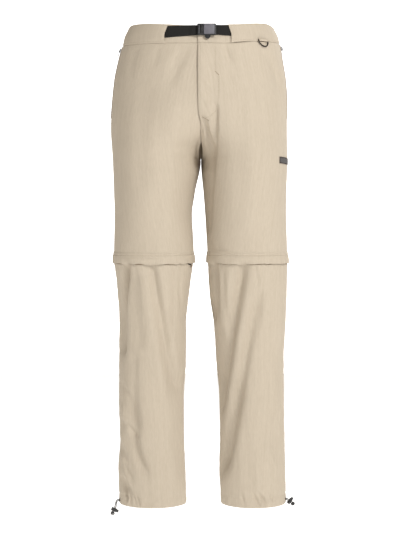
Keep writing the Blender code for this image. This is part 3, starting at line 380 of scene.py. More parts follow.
# Small unevenness of the cloth: height, then length across and down. Bodies are calmer than legs
clothFinish = {
    "ripple": (0.00055, 0.021, 0.075),
    "rippleOnBody": 0.35,
    "streak": (0.00028, 0.0075, 0.034),
    "streakOnBody": 0.45,
    "pucker": (0.00050, 0.011, 0.03),
    "puckerReach": 0.009,
    "gather": (0.0011, 0.0062, 0.05),
    "gatherReach": 0.011,
    "gatherTop": 0.003,
    "hemPucker": (0.0013, 0.0075, 0.03),
    "hemSlant": 0.6,
    "hemMiddle": 0.010,
    "hemReach": 0.009,
    "waistCalm": (-0.035, -0.010),
    "legStarts": (-0.495, -0.520),
    "kneeLine": -0.49,
    "kneeCalm": (-0.487, -0.504),
    "backShift": 3,
    "probe": 0.004,
}


def hump(value, reach):
    return np.exp(-((value / reach) ** 2))


def creaseRise(half, seam, calm, x, z):
    # all folds and creases of a panel, and what starts below the knee's band stays below it
    folds, creases = (frontFolds, frontCreases) if half == "front" else (backFolds, backCreases)
    kneeLine, underBand = clothFinish["kneeLine"], ramp(z, *clothFinish["kneeCalm"])
    kinds = ((folds, "fold", calm), (creases, "crease", ramp(seam, 0, creaseEnds["creaseCalm"])))
    rise = 0
    for rows, kind, quiet in kinds:
        ends = creaseEnds[kind]
        above = [row for row in rows if row[1] > kneeLine]
        below = [row for row in rows if row[1] <= kneeLine]
        rise = rise + foldRise(above, ends, x, z) * quiet
        rise = rise + foldRise(below, ends, x, z) * quiet * underBand
    return rise


def clothForm(side, half, angle, level):
    here = bareForm(side, half, angle, level)
    _, width, last = legSection(side, half, level)
    x, z = here[..., 0], here[..., 2]
    toSide, toInner = width * np.abs(angle), width * np.abs(last - angle)
    seam = np.minimum(toSide, toInner)
    calm = ramp(np.where(angle < math.pi / 2, toSide, toInner), 0, creaseEnds["seamCalm"])
    rise = creaseRise(half, seam, calm, x, z)
    around = width * angle * sides[side] + (clothFinish["backShift"] if half == "back" else 0)
    onBody = 1 - ramp(z, *clothFinish["waistCalm"])  # the waistband lies smoother than the legs
    onLeg = ramp(z, *clothFinish["legStarts"])
    for part, seed in (("ripple", 1), ("streak", 2)):
        high, across, down = clothFinish[part]
        least = clothFinish[part + "OnBody"]
        rise += high * softNoise(around / across, z / down, seed) * (least + (1 - least) * onLeg) * onBody
    high, across, down = clothFinish["pucker"]
    rise += high * softNoise(z / across, around / down, 3) * hump(seam, clothFinish["puckerReach"]) * onLeg
    high, across, down = clothFinish["gather"]
    nearZip = hump(heights["zipBottom"] - level, clothFinish["gatherReach"])
    nearZip = nearZip * (level < heights["zipBottom"] + clothFinish["gatherTop"])
    rise += high * softNoise(around / across, z / down, 4) * nearZip
    high, across, down = clothFinish["hemPucker"]
    nearHem = hump(heights["hem"] + clothFinish["hemMiddle"] - level, clothFinish["hemReach"])
    rise += high * softNoise((around + clothFinish["hemSlant"] * z) / across, z / down, 5) * nearHem
    if (side, half) == ("left", "front"):
        step = fly["step"] + fly["more"] * (1 - ramp(level, *fly["moreStarts"]))
        rise += step * (1 - ramp(level, *fly["stepEnds"])) * (1 - ramp(x, 0.0, fly["stepWidth"]))
    return here + outwardAt(bareForm, side, half, angle, level, clothFinish["probe"]) * rise[..., None]


def clothAt(side, half, angle, level):
    angle, level = np.broadcast_arrays(np.asarray(angle, dtype=float), np.asarray(level, dtype=float))
    outward = outwardAt(clothForm, side, half, angle, level, clothFinish["probe"])
    return clothForm(side, half, angle, level), outward


def angleAt(side, half, x, level):
    middle, width, _ = legSection(side, half, level)
    return np.arccos(np.clip((x - middle) / width, -1, 1))


def evenAngles(side, half, share, level, first=None, last=None):
    # angles that part each level's own length evenly, with share from 0 at first to 1 at last,
    # and that length so far
    levels, row = np.unique(level, return_inverse=True)
    row = row.reshape(-1)
    end = legSection(side, half, levels)[2] if last is None else last(levels)
    start = np.zeros_like(levels) if first is None else first(levels)
    steps = start[:, None] + (end - start)[:, None] * np.linspace(0, 1, 120)
    place = bareForm(side, half, steps, levels[:, None] + np.zeros_like(steps))
    run = np.cumsum(np.linalg.norm(np.diff(place, axis=1), axis=2), axis=1)
    run = np.concatenate([np.zeros((len(levels), 1)), run], axis=1)
    angle = np.empty_like(share)
    for i in range(len(levels)):
        here = row == i
        angle[here] = np.interp(share[here] * run[i, -1], run[i], steps[i])
    return angle, share * run[row, -1]


def gridShell(name, columns, rows, shape, thick, material, closed=False):
    # a grid laid on the form by shape(u, v), with u across and v down, then given its thickness inwards
    bm = bmesh.new()
    bmesh.ops.create_grid(bm, x_segments=columns, y_segments=rows, size=0.5, calc_uvs=False)
    flat = np.array([vert.co[:2] for vert in bm.verts])
    u, v = np.round((flat[:, 0] + 0.5) * columns) / columns, np.round((0.5 - flat[:, 1]) * rows) / rows
    place, outward, cut = shape(u, v)
    layer = bm.loops.layers.uv.new("cut")
    for vert, here in zip(bm.verts, place):
        vert.co = here
    bm.verts.index_update()
    for face in bm.faces:
        for loop in face.loops:
            loop[layer].uv = cut[loop.vert.index]
    bm.normal_update()
    bm.faces.ensure_lookup_table()
    middle = bm.faces[len(bm.faces) // 2]
    if middle.normal.dot(Vector(outward[middle.verts[0].index])) < 0:
        bmesh.ops.reverse_faces(bm, faces=bm.faces[:])
    if closed:
        bmesh.ops.remove_doubles(bm, verts=bm.verts, dist=0.00002)
    area = sum(face.calc_area() for face in bm.faces)
    bmesh.ops.solidify(bm, geom=bm.faces[:], thickness=thick)
    print(f"{name} cloth area {area:.4f}")
    return newObject(name, bm, material)


def addBeads(bm, places, along, outward, size):
    # small rounded beads, half sizes along, across and out, one at each place
    for place, way, out in zip(places, along, outward):
        forward = Vector(way).normalized()
        up = Vector(out)
        up = (up - forward * up.dot(forward)).normalized()
        turn = Matrix((forward, up.cross(forward), up)).transposed().to_4x4()
        matrix = Matrix.Translation(place) @ turn @ Matrix.Diagonal((*size, 1))
        bmesh.ops.create_icosphere(bm, subdivisions=1, radius=1.0, matrix=matrix)


def beadRow(name, places, along, outward, size, material):
    bm = bmesh.new()
    addBeads(bm, places, along, outward, size)
    return newObject(name, bm, material)


stitch = {"pitch": 0.0026, "size": (0.00100, 0.00024, 0.00020), "sink": 0.00002}


def stitchRows(name, shape, lines, pitch=None):
    # thread laid along lines of (u, v) on a cloth's own shape
    bm = bmesh.new()
    for u, v in lines:
        place, outward = shape(u, v)[:2]
        way = np.concatenate([[0], np.cumsum(np.linalg.norm(np.diff(place, axis=0), axis=1))])
        steps = np.arange(0, way[-1], pitch or stitch["pitch"])
        spots = np.stack([np.interp(steps, way, place[:, k]) for k in range(3)], axis=1)
        outs = np.stack([np.interp(steps, way, outward[:, k]) for k in range(3)], axis=1)
        addBeads(bm, spots - outs * stitch["sink"], np.gradient(spots, axis=0), outs, stitch["size"])
    obj = newObject(name, bm, finish["thread"])
    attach(obj, "trousers")
    return obj


# Materials

def newMaterial(name, colour, roughness, metallic=0.0):
    material = bpy.data.materials.new(name)
    material.use_nodes = True
    nodes, links = material.node_tree.nodes, material.node_tree.links
    shader = nodes["Principled BSDF"]
    shader.inputs["Base Color"].default_value = (*colour, 1)
    shader.inputs["Roughness"].default_value = roughness
    shader.inputs["Metallic"].default_value = metallic
    return material, nodes, links, shader


def addNode(nodes, kind, **settings):
    node = nodes.new("ShaderNode" + kind)
    for name, value in settings.items():
        if name in node.inputs:
            node.inputs[name].default_value = value
        else:
            setattr(node, name, value)
    return node


def tintBetween(nodes, links, fac, dark, light, low=0.3, high=0.7):
    ramped = nodes.new("ShaderNodeValToRGB")
    ramped.color_ramp.elements[0].position = low
    ramped.color_ramp.elements[1].position = high
    ramped.color_ramp.elements[0].color = (*dark, 1)
    ramped.color_ramp.elements[1].color = (*light, 1)
    links.new(fac, ramped.inputs["Fac"])
    return ramped.outputs["Color"]


khaki = {
    "light": (0.508, 0.440, 0.349),
    "dark": (0.462, 0.396, 0.310),
    "tint": (0.36, 0.62),
    "roughness": 0.72,
    "sheen": 0.06,
    "sheenRoughness": 0.45,
    "specular": 0.20,
    "streakLength": 0.16,
    "streakScale": 430.0,
    "streakShare": 0.55,
    "patchLength": 0.045,
    "patchScale": 210.0,
    "patchShare": 0.45,
    "crumpleLength": 0.42,
    "crumpleScale": 210.0,
    "crumpleTurn": 0.12,
    "crumpleEdge": 0.28,
    "crumpleHeight": 1.1,
    "crinkleStrength": 0.55,
    "crinkleBump": 0.00088,
    "weaveScale": 950.0,
    "weaveStrength": 0.35,
    "weaveBump": 0.00008,
}


def makeCloth(name, light, dark):
    # crinkled nylon: fine upright creases and a plain weave, both in the cut's own metres
    material, nodes, links, shader = newMaterial(name, light, khaki["roughness"])
    shader.inputs["Sheen Weight"].default_value = khaki["sheen"]
    shader.inputs["Sheen Roughness"].default_value = khaki["sheenRoughness"]
    shader.inputs["Specular IOR Level"].default_value = khaki["specular"]
    cut = addNode(nodes, "UVMap", uv_map="cut").outputs["UV"]

    def along(length, texture, turn=0.0):
        # a texture drawn out along the cloth's length
        drawn = addNode(nodes, "Mapping", Scale=(1.0, length, 1.0), Rotation=(0, 0, turn))
        links.new(cut, drawn.inputs["Vector"])
        links.new(drawn.outputs["Vector"], texture.inputs["Vector"])
        return texture.outputs["Distance" if "Distance" in texture.outputs else "Fac"]

    def worked(operation, *sources):
        # a sum on textures and plain numbers
        node = addNode(nodes, "Math", operation=operation)
        for socket, source in zip(node.inputs, sources):
            if isinstance(source, float):
                socket.default_value = source
            else:
                links.new(source, socket)
        return node.outputs["Value"]

    fine = addNode(nodes, "TexNoise", Scale=khaki["streakScale"], Detail=4.0, Roughness=0.60, Distortion=0.4)
    streaks = along(khaki["streakLength"], fine)
    broad = addNode(nodes, "TexNoise", Scale=khaki["patchScale"], Detail=3.0, Roughness=0.55)
    patches = along(khaki["patchLength"], broad)
    cells = addNode(nodes, "TexVoronoi", feature="DISTANCE_TO_EDGE", Scale=khaki["crumpleScale"])
    crumple = along(khaki["crumpleLength"], cells, khaki["crumpleTurn"])
    threads = []
    for way in ("X", "Y"):
        wave = addNode(nodes, "TexWave", Scale=khaki["weaveScale"], bands_direction=way)
        links.new(cut, wave.inputs["Vector"])
        threads.append(wave.outputs["Fac"])
    patchPart = worked("MULTIPLY", patches, khaki["patchShare"])
    blend = worked("MULTIPLY_ADD", streaks, khaki["streakShare"], patchPart)
    links.new(tintBetween(nodes, links, blend, dark, light, *khaki["tint"]), shader.inputs["Base Color"])
    edge = worked("MINIMUM", crumple, khaki["crumpleEdge"])
    height = worked("MULTIPLY_ADD", edge, khaki["crumpleHeight"], streaks)
    creased = addNode(nodes, "Bump", Strength=khaki["crinkleStrength"], Distance=khaki["crinkleBump"])
    links.new(height, creased.inputs["Height"])
    woven = addNode(nodes, "Bump", Strength=khaki["weaveStrength"], Distance=khaki["weaveBump"])
    links.new(worked("MULTIPLY", *threads), woven.inputs["Height"])
    links.new(creased.outputs["Normal"], woven.inputs["Normal"])
    links.new(woven.outputs["Normal"], shader.inputs["Normal"])
    return material


def makeWoven(name, dark, light, roughness, scale, bump, coords="UV", ribs=None):
    # a dense narrow fabric: ribs across its length and a faint change of tone
    material, nodes, links, shader = newMaterial(name, light, roughness)
    shader.inputs["Specular IOR Level"].default_value = 0.3
    if coords == "UV":
        source = addNode(nodes, "UVMap", uv_map="cut").outputs["UV"]
    else:
        source = nodes.new("ShaderNodeTexCoord").outputs["Object"]
    wave = addNode(nodes, "TexWave", Scale=scale, Distortion=1.2, bands_direction=ribs or "X")
    wave.inputs["Detail"].default_value = 1.0
    noise = addNode(nodes, "TexNoise", Scale=scale * 1.6, Detail=3.0)
    links.new(source, wave.inputs["Vector"])
    links.new(source, noise.inputs["Vector"])
    tint = tintBetween(nodes, links, wave.outputs["Fac"], dark, light, 0.1, 0.9)
    links.new(tint, shader.inputs["Base Color"])
    mixed = addNode(nodes, "Math", operation="ADD")
    links.new(wave.outputs["Fac"], mixed.inputs[0])
    links.new(noise.outputs["Fac"], mixed.inputs[1])
    bumped = addNode(nodes, "Bump", Strength=0.6, Distance=bump)
    links.new(mixed.outputs["Value"], bumped.inputs["Height"])
    links.new(bumped.outputs["Normal"], shader.inputs["Normal"])
    return material


def makeMoulded(name, colour, roughness, grain=900.0, metallic=0.0, worn=None):
    # moulded plastic or lacquered metal: fine grain in the gloss, lighter where it is rubbed
    material, nodes, links, shader = newMaterial(name, colour, roughness, metallic)
    source = nodes.new("ShaderNodeTexCoord").outputs["Object"]
    noise = addNode(nodes, "TexNoise", Scale=grain, Detail=3.0)
    broad = addNode(nodes, "TexNoise", Scale=grain / 8, Detail=2.0)
    links.new(source, noise.inputs["Vector"])
    links.new(source, broad.inputs["Vector"])
    lighter = worn or tuple(min(1, c * 1.35 + 0.004) for c in colour)
    tint = tintBetween(nodes, links, broad.outputs["Fac"], colour, lighter, 0.35, 0.8)
    links.new(tint, shader.inputs["Base Color"])
    gloss = addNode(nodes, "MapRange")
    gloss.inputs["To Min"].default_value = roughness * 0.85
    gloss.inputs["To Max"].default_value = min(1, roughness * 1.25)
    links.new(noise.outputs["Fac"], gloss.inputs["Value"])
    links.new(gloss.outputs["Result"], shader.inputs["Roughness"])
    bumped = addNode(nodes, "Bump", Strength=0.25, Distance=0.00008)
    links.new(noise.outputs["Fac"], bumped.inputs["Height"])
    links.new(bumped.outputs["Normal"], shader.inputs["Normal"])
    return material


finish = {
    "khaki": makeCloth("khaki crinkle nylon", khaki["light"], khaki["dark"]),
    "thread": makeWoven("khaki thread", (0.20, 0.155, 0.105), (0.30, 0.24, 0.17), 0.6, 900.0, 0.00006,
                        "Object"),
    "zipTape": makeWoven("brown zip tape", (0.240, 0.180, 0.125), (0.340, 0.265, 0.190), 0.8, 420.0, 0.00010),
    "zipCoil": makeMoulded("brown zip coil", (0.230, 0.172, 0.120), 0.45),
    "webbing": makeWoven("black webbing", (0.005, 0.0045, 0.004), (0.014, 0.013, 0.012), 0.80, 330.0,
                         0.00016),
    "blackPlastic": makeMoulded("black plastic", (0.012, 0.012, 0.013), 0.42),
    "greyPlate": makeMoulded("grey plate", (0.115, 0.112, 0.130), 0.38, worn=(0.150, 0.147, 0.168)),
    "greyBar": makeMoulded("grey bar", (0.070, 0.070, 0.075), 0.42),
    "darkMetal": makeMoulded("dark lacquered metal", (0.014, 0.011, 0.010), 0.42, metallic=0.4),
    "pullDark": makeMoulded("dark pull", (0.030, 0.024, 0.022), 0.55),
    "pullBrown": makeMoulded("brown pull", (0.115, 0.080, 0.055), 0.6),
    "pullGrey": makeMoulded("grey pull", (0.170, 0.160, 0.180), 0.55),
    "hemCord": makeWoven("grey hem cord", (0.020, 0.018, 0.017), (0.085, 0.078, 0.072), 0.75, 700.0, 0.00012,
                         "Object", "Z"),
    "badgeEdge": makeWoven("stitched badge edge", (0.018, 0.012, 0.011), (0.060, 0.042, 0.038), 0.7, 620.0,
                           0.00016),
    "badgeFace": makeWoven("woven badge face", (0.055, 0.051, 0.050), (0.120, 0.113, 0.110), 0.80, 700.0,
                           0.00008),
}
print("materials made:", len(finish))


# Hem drawcords: each is doubled through its lock, and both strands go back into the hem

hemCord = {
    "diameter": 0.0018,
    "y": -0.0135,
    "endSize": (0.0062, 0.0050, 0.0056),
    "endCorner": 0.0022,
    "endEdge": 0.0012,
    "ends": {"right": ((-0.1960, -1.0512), 0.35), "left": ((0.2044, -1.0312), -0.6)},
    "rightRoute": [
        (-0.1810, -1.0223), (-0.1842, -1.0224), (-0.1872, -1.0245), (-0.1890, -1.0295), (-0.1901, -1.0345),
        (-0.1917, -1.0400), (-0.1936, -1.0442), (-0.1955, -1.0483), (-0.1984, -1.0505), (-0.1993, -1.0532),
        (-0.1973, -1.0556), (-0.1944, -1.0560), (-0.1924, -1.0537), (-0.1931, -1.0493), (-0.1912, -1.0452),
        (-0.1894, -1.0411), (-0.1880, -1.0370), (-0.1874, -1.0320), (-0.1866, -1.0281), (-0.1845, -1.0252),
        (-0.1810, -1.0246),
    ],
    "leftRoute": [
        (0.1890, -1.0197), (0.1916, -1.0199), (0.1944, -1.0217), (0.1983, -1.0248), (0.2018, -1.0276),
        (0.2055, -1.0280), (0.2077, -1.0303), (0.2070, -1.0334), (0.2040, -1.0348), (0.2013, -1.0334),
        (0.2002, -1.0296), (0.1967, -1.0268), (0.1928, -1.0237), (0.1911, -1.0225), (0.1890, -1.0220),
    ],
}


def smoothRoute(points, between):
    route = []
    for i in range(len(points) - 1):
        before, after = points[max(i - 1, 0)], points[min(i + 2, len(points) - 1)]
        start, end = points[i], points[i + 1]
        for k in range(between):
            t = k / between
            bend = 2 * before - 5 * start + 4 * end - after
            twist = 3 * start - before - 3 * end + after
            route.append(0.5 * (2 * start + (end - before) * t + bend * t**2 + twist * t**3))
    return route + [points[-1]]


def curvePiece(name, route, radius, material, closed=False, around=5):
    curve = bpy.data.curves.new(name, "CURVE")
    curve.dimensions = "3D"
    spline = curve.splines.new("POLY")
    spline.points.add(len(route) - 1)
    for point, place in zip(spline.points, route):
        point.co = (*place, 1)
    spline.use_cyclic_u = closed
    curve.bevel_depth = radius
    curve.bevel_resolution = around
    curve.use_fill_caps = not closed
    curve.materials.append(material)
    obj = bpy.data.objects.new(name, curve)
    bpy.context.scene.collection.objects.link(obj)
    return obj


def edgeRun(edge, axis):
    return abs(edge.verts[0].co[axis] - edge.verts[1].co[axis])


def roundOff(bm, edges, offset, segments):
    bmesh.ops.bevel(bm, geom=edges, offset=offset, segments=segments, profile=0.5, affect="EDGES",
                    material=-1)


def roundedBlock(size, corner, segments=4, edge=0.0):
    # a block with its upright corners rounded, and its two faces' rims too where edge is given
    bm = bmesh.new()
    bmesh.ops.create_cube(bm, size=1.0)
    bmesh.ops.scale(bm, vec=size, verts=bm.verts)
    roundOff(bm, [e for e in bm.edges if edgeRun(e, 1) > size[1] * 0.9], corner, segments)
    if edge:
        roundOff(bm, [e for e in bm.edges if edgeRun(e, 1) < size[1] * 0.1], edge, 3)
    return bm


def makeCordEnd(side):
    # the moulded end that clips the two strands together beyond the lock
    (x, z), turn = hemCord["ends"][side]
    bm = roundedBlock(hemCord["endSize"], hemCord["endCorner"], 5, hemCord["endEdge"])
    bmesh.ops.rotate(bm, matrix=Matrix.Rotation(turn, 3, "Y"), verts=bm.verts)
    bmesh.ops.translate(bm, vec=(x, hemCord["y"], z), verts=bm.verts)
    end = newObject(f"hemCordEnd_{side}", bm, finish["blackPlastic"], 40)
    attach(end, "trousers")
    return end


for side in sides:
    points = [Vector((x, hemCord["y"], z)) for x, z in hemCord[side + "Route"]]
    route = smoothRoute(points, 5)
    cord = curvePiece(f"hemDrawcord_{side}", route, hemCord["diameter"] / 2, finish["hemCord"])
    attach(cord, "trousers")
    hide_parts(f"hem_cord_{side}")
    fittings = [f"cord_lock_{side}", f"lock_button_{side}", makeCordEnd(side)]
print("hem cords laid")


# Leg panels: fronts and backs above and below the zip-off knees

panelCut = {
    "columns": {"front": 150, "back": 90},
    "rows": {"front": 200, "back": 130},
    "thick": 0.0006,
    "tuck": 0.0030,
    "tuckDepth": 0.0010,
    "tuckRun": (0.0002, 0.0030),
    "edgeDepth": 0.0005,
    "edgeRun": 0.0012,
    "topDepth": 0.0012,
    "topRun": 0.0020,
    "topGap": 0.0002,
    "kneeOver": 0.0003,
    "overZip": 0.0022,
    "overZipOut": 0.0003,
    "overZipRun": (0.0050, 0.0002),
    "topWave": 0.0009,
    "waveRun": 0.0060,
    "waveSize": (0.008, 0.012),
    "hemRoll": 0.0008,
    "hemInside": 0.0180,
    "hemGroove": 0.0013,
    "grooveReach": 0.0014,
    "shorts": {"flat": (0.345, 0.480), "area": 0.136},
    "leg": {"flat": (0.255, 0.550), "area": 0.130},
}


def rolledHem(way, top, run, roll):
    # down the outside, round the rolled hem and up inside: level, distance out, and how far up inside
    turn = np.clip((way - run) / (math.pi * roll), 0, 1) * math.pi
    up = np.maximum(way - run - math.pi * roll, 0)
    return top - np.minimum(way, run) - roll * np.sin(turn) + up, -roll * (1 - np.cos(turn)), up


def makePanel(prefix, side, half, top, bottom, node):
    under = (half == "back", half == "back" or side == "right")  # which edges pass under their neighbour
    hem = prefix == "leg"
    roll, inside = panelCut["hemRoll"], panelCut["hemInside"]
    run = top - bottom
    total = run + (math.pi * roll + inside if hem else 0)
    zipEnd = heights["zipBottom"]

    def depth(level):
        return np.abs(form[half](level))

    def first(level):
        return -panelCut["tuck"] / depth(level) if under[0] else np.zeros_like(level)

    def last(level):
        return legSection(side, half, level)[2] + (panelCut["tuck"] / depth(level) if under[1] else 0)

    def shape(u, v):
        way = v * total
        level, out, _ = rolledHem(way, top, run, roll)
        if hem:  # the gathered top edge lies over the zip's tape
            start, end = (zipEnd - below for below in panelCut["overZipRun"])
            out = out + panelCut["overZipOut"] * ramp(level, start, end)
            out = out - panelCut["hemGroove"] * hump(level - heights["hemStitch"], panelCut["grooveReach"])
        else:
            out = out - panelCut["topDepth"] * (1 - ramp(way, 0.0, panelCut["topRun"]))
        angle, along = evenAngles(side, half, u, np.round(np.maximum(level, bottom), 7), first, last)
        place, outward = clothAt(side, half, angle, level)
        end = legSection(side, half, level)[2]
        for edge, hidden in zip((depth(level) * angle, depth(level) * (end - angle)), under):
            if hidden:
                out = out - panelCut["tuckDepth"] * (1 - ramp(edge, *panelCut["tuckRun"]))
            else:
                out = out - panelCut["edgeDepth"] * (1 - ramp(edge, 0.0, panelCut["edgeRun"]))
        place = place + outward * out[:, None]
        if hem:
            wave = panelCut["topWave"] * ramp(level, zipEnd - panelCut["waveRun"], zipEnd)
            across, ahead = panelCut["waveSize"]
            place[:, 2] += wave * softNoise(place[:, 0] / across, place[:, 1] / ahead, 18)
        return place, outward, np.stack([along, way], axis=1)

    if hem:
        across = np.linspace(0.01, 0.99, 300)
        line = (across, 0 * across + (top - heights["hemStitch"]) / total)
        stitchRows(f"hemStitches{half.capitalize()}_{side}", shape, [line])
    name = f"{prefix}{half.capitalize()}Cloth_{side}"
    columns, rows = panelCut["columns"][half], panelCut["rows"][half]
    obj = gridShell(name, columns, rows, shape, panelCut["thick"], finish["khaki"])
    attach(obj, "trousers")
    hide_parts(node)


for side in sides:
    for half in ("front", "back"):
        makePanel("shorts", side, half, heights["waistSeam"] - panelCut["topGap"],
                  heights["zipTop"] + panelCut["kneeOver"], f"{half}_{side}")
        makePanel("leg", side, half, heights["zipBottom"] + panelCut["overZip"], heights["hem"],
                  f"lower_{half}_{side}")
print("leg panels sewn")


# Waistband: casings round the sides and back, and the lower layer in front behind the belt

waistband = {
    "columns": 200,
    "rows": 46,
    "thick": 0.0005,
    "roll": 0.0008,
    "inside": 0.034,
    "crown": 0.0007,
    "gathers": (0.0010, 46, 0.8),
    "gatherEnds": (0.38, 0.66),
    "settle": (0.00030, 17, 2.2),
    "sideShare": 0.55,
    "seamGap": 0.0002,
    "ends": {"right": (0.0712, 0.0783), "left": (0.0592, 0.0655)},
    "endLow": 0.002,
    "tuck": 0.013,
    "step": 0.0042,
    "stepRun": 0.060,
    "stepFade": (-0.0060, -0.0115),
    "footIn": 0.0011,
    "endIn": 0.0008,
    "stitchRows": (0.0020, 0.0355),
    "frontColumns": 56,
    "frontRows": 36,
    "frontInside": 0.014,
    "frontRise": 0.0026,
    "frontRiseRun": (0.030, 0.075),
    "frontDrag": (0.0007, 0.016, 1.5, 2.0),
    "cutLength": 0.44,
    "frontCutLength": 0.09,
    "frontFootIn": 0.0009,
    "flat": {"right": (0.440, 0.076), "left": (0.420, 0.076)},
    "frontFlat": {"right": (0.095, 0.053), "left": (0.088, 0.053)},
}


def bandProfile(v, top, bottom, inside):
    # up the inside, over the rolled top edge and down the outside:
    # level, distance out, share down the outside, and the way along the profile
    roll = waistband["roll"]
    over = math.pi * roll
    outer = top - roll - bottom
    way = v * (inside + over + outer)
    turn = np.clip((way - inside) / over, 0, 1) * math.pi
    down = np.maximum(way - inside - over, 0)
    level = np.where(way < inside, top - roll - inside + way, top - roll + roll * np.sin(turn) - down)
    return level, -roll * (1 + np.cos(turn)), np.clip(down / outer, 0, 1), way


def bandShare(down):
    # the share v of a casing's profile that lies this far down its outside
    roll, inside = waistband["roll"], waistband["inside"]
    outer = heights["waistTop"] - roll - heights["waistSeam"] - waistband["seamGap"]
    return (inside + math.pi * roll + down) / (inside + math.pi * roll + outer)


def casingEnd(side, level):
    top, bottom = waistband["ends"][side]
    return top + (bottom - top) * ramp(level, heights["waistTop"], waistband["endLow"])


def makeCasing(side):
    def endAngle(level):
        return angleAt(side, "front", casingEnd(side, level), level)

    def shape(u, v):
        seam = heights["waistSeam"] + waistband["seamGap"]
        level, out, down, way = bandProfile(v, heights["waistTop"], seam, waistband["inside"])
        behind = u < waistband["sideShare"]
        backShare = 1 - u / waistband["sideShare"]
        frontShare = (u - waistband["sideShare"]) / (1 - waistband["sideShare"])
        flat = np.round(level, 7)
        backAngle = evenAngles(side, "back", np.clip(backShare, 0, 1), flat)[0]
        frontAngle = evenAngles(side, "front", np.clip(frontShare, 0, 1), flat, last=endAngle)[0]
        backPlace, backOut = clothAt(side, "back", backAngle, level)
        frontPlace, frontOut = clothAt(side, "front", frontAngle, level)
        place = np.where(behind[:, None], backPlace, frontPlace)
        outward = np.where(behind[:, None], backOut, frontOut)
        end = waistband["ends"][side][0] + waistband["tuck"]
        overBelt = waistband["step"] * (1 - ramp(np.abs(place[:, 0]), end, end + waistband["stepRun"]))
        if side == "right":  # the right casing runs on into the band below the belt
            overBelt = overBelt * (1 - 0.75 * ramp(level, *waistband["stepFade"]))
        out = out + np.where(behind, 0, overBelt)
        crown = np.sin(math.pi * np.clip(down * 1.02, 0, 1)) * waistband["crown"]
        high, across, along = waistband["gathers"]
        uneven = high * (1 - ramp(u, *waistband["gatherEnds"])) * softNoise(u * across, down * along, 6)
        high, across, along = waistband["settle"]
        uneven = uneven + high * softNoise(u * across, down * along, 8)
        outside = crown + uneven * np.sin(math.pi * np.clip(down, 0.02, 0.98))
        out = out + np.where(down > 0, outside, 0)
        out = out - waistband["footIn"] * ramp(down, 0.94, 1.0) - waistband["endIn"] * ramp(u, 0.985, 1.0)
        return place + outward * out[:, None], outward, np.stack([u * waistband["cutLength"], way], axis=1)

    columns, rows = waistband["columns"], waistband["rows"]
    obj = gridShell(f"waistCasing_{side}", columns, rows, shape, waistband["thick"], finish["khaki"])
    across = np.linspace(0.004, 0.996, 900)
    lines = [(across, 0 * across + bandShare(down)) for down in waistband["stitchRows"]]
    sewn = stitchRows(f"casingStitches_{side}", shape, lines)
    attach(obj, "trousers")
    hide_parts(f"waistband_{side}")


def makeFrontLayer(side):
    reach = waistband["ends"][side][0] + waistband["tuck"]

    def startAngle(level):
        return angleAt(side, "front", reach, level)

    def shape(u, v):
        seam = heights["waistSeam"] + waistband["seamGap"]
        level, out, down, way = bandProfile(v, heights["frontLayerTop"], seam, waistband["frontInside"])
        angle = evenAngles(side, "front", u, np.round(level, 7), first=startAngle)[0]
        place, outward = clothAt(side, "front", angle, level)
        higher = waistband["frontRise"] * (1 + ramp(np.abs(place[:, 0]), *waistband["frontRiseRun"]))
        place[:, 2] += higher * ramp(level, 0.0, heights["frontLayerTop"])
        high, across, slant, along = waistband["frontDrag"]
        drag = high * softNoise(place[:, 0] / across + down * slant, down * along, 9)
        out = out + drag * np.sin(math.pi * down) - waistband["frontFootIn"] * ramp(down, 0.955, 1.0)
        cut = np.stack([u * waistband["frontCutLength"], way], axis=1)
        return place + outward * out[:, None], outward, cut

    columns, rows = waistband["frontColumns"], waistband["frontRows"]
    obj = gridShell(f"waistFrontLayer_{side}", columns, rows, shape, waistband["thick"], finish["khaki"])
    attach(obj, "trousers")
    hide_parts(f"waistband_front_{side}")


for side in sides:
    makeCasing(side)
    makeFrontLayer(side)
print("waistband sewn")


# Zip-off knees: a band that covers each zip, the zip's tape and its coil. The band's waves have a height,
# then how many go round the leg and down the band

kneeBand = {
    "columns": 190,
    "rows": 26,
    "thick": 0.0005,
    "roll": 0.0008,
    "inside": 0.012,
    "out": 0.0009,
    "flare": 0.0034,
    "topDepth": 0.0012,
    "topRun": 0.0016,
    "stitchRows": (0.0024, 0.0074),
    "stitchDip": 0.0014,
    "dipReach": 0.0011,
    "wide": (0.00085, 22, 1.2),
    "small": (0.00040, 88, 2.0),
    "patches": 9,
    "edgeWaves": ((0.0009, 26), (0.0006, 70)),
    "nearSeam": 0.012,
    "flat": (0.555, 0.0405),
}
kneeZip = {
    "columns": 150,
    "rows": 6,
    "thick": 0.0006,
    "crown": 0.0004,
    "coilLevel": -0.4943,
    "teeth": 300,
    "tooth": (0.00062, 0.0021, 0.00055),
    "coilOut": 0.0005,
    "flat": (0.530, 0.010),
}


def aroundLeg(side, u, level):
    # a place round the whole leg, with u from the side seam over the front to the side seam again
    flat = np.round(level, 7)
    frontAngle = evenAngles(side, "front", np.clip(u * 2, 0, 1), flat)[0]
    backAngle = evenAngles(side, "back", np.clip(2 - u * 2, 0, 1), flat)[0]
    frontPlace, frontOut = clothAt(side, "front", frontAngle, level)
    backPlace, backOut = clothAt(side, "back", backAngle, level)
    ahead = (u <= 0.5)[:, None]
    outward = np.where(ahead, frontOut, backOut)
    seam = np.minimum(np.minimum(u, 1 - u), np.abs(u - 0.5))[:, None]
    sideways = outward * [1, 1, 0]
    sideways = sideways / np.linalg.norm(sideways, axis=1, keepdims=True)
    outward = np.where(seam < kneeBand["nearSeam"], sideways, outward)  # beside a seam both panels agree
    return np.where(ahead, frontPlace, backPlace), outward


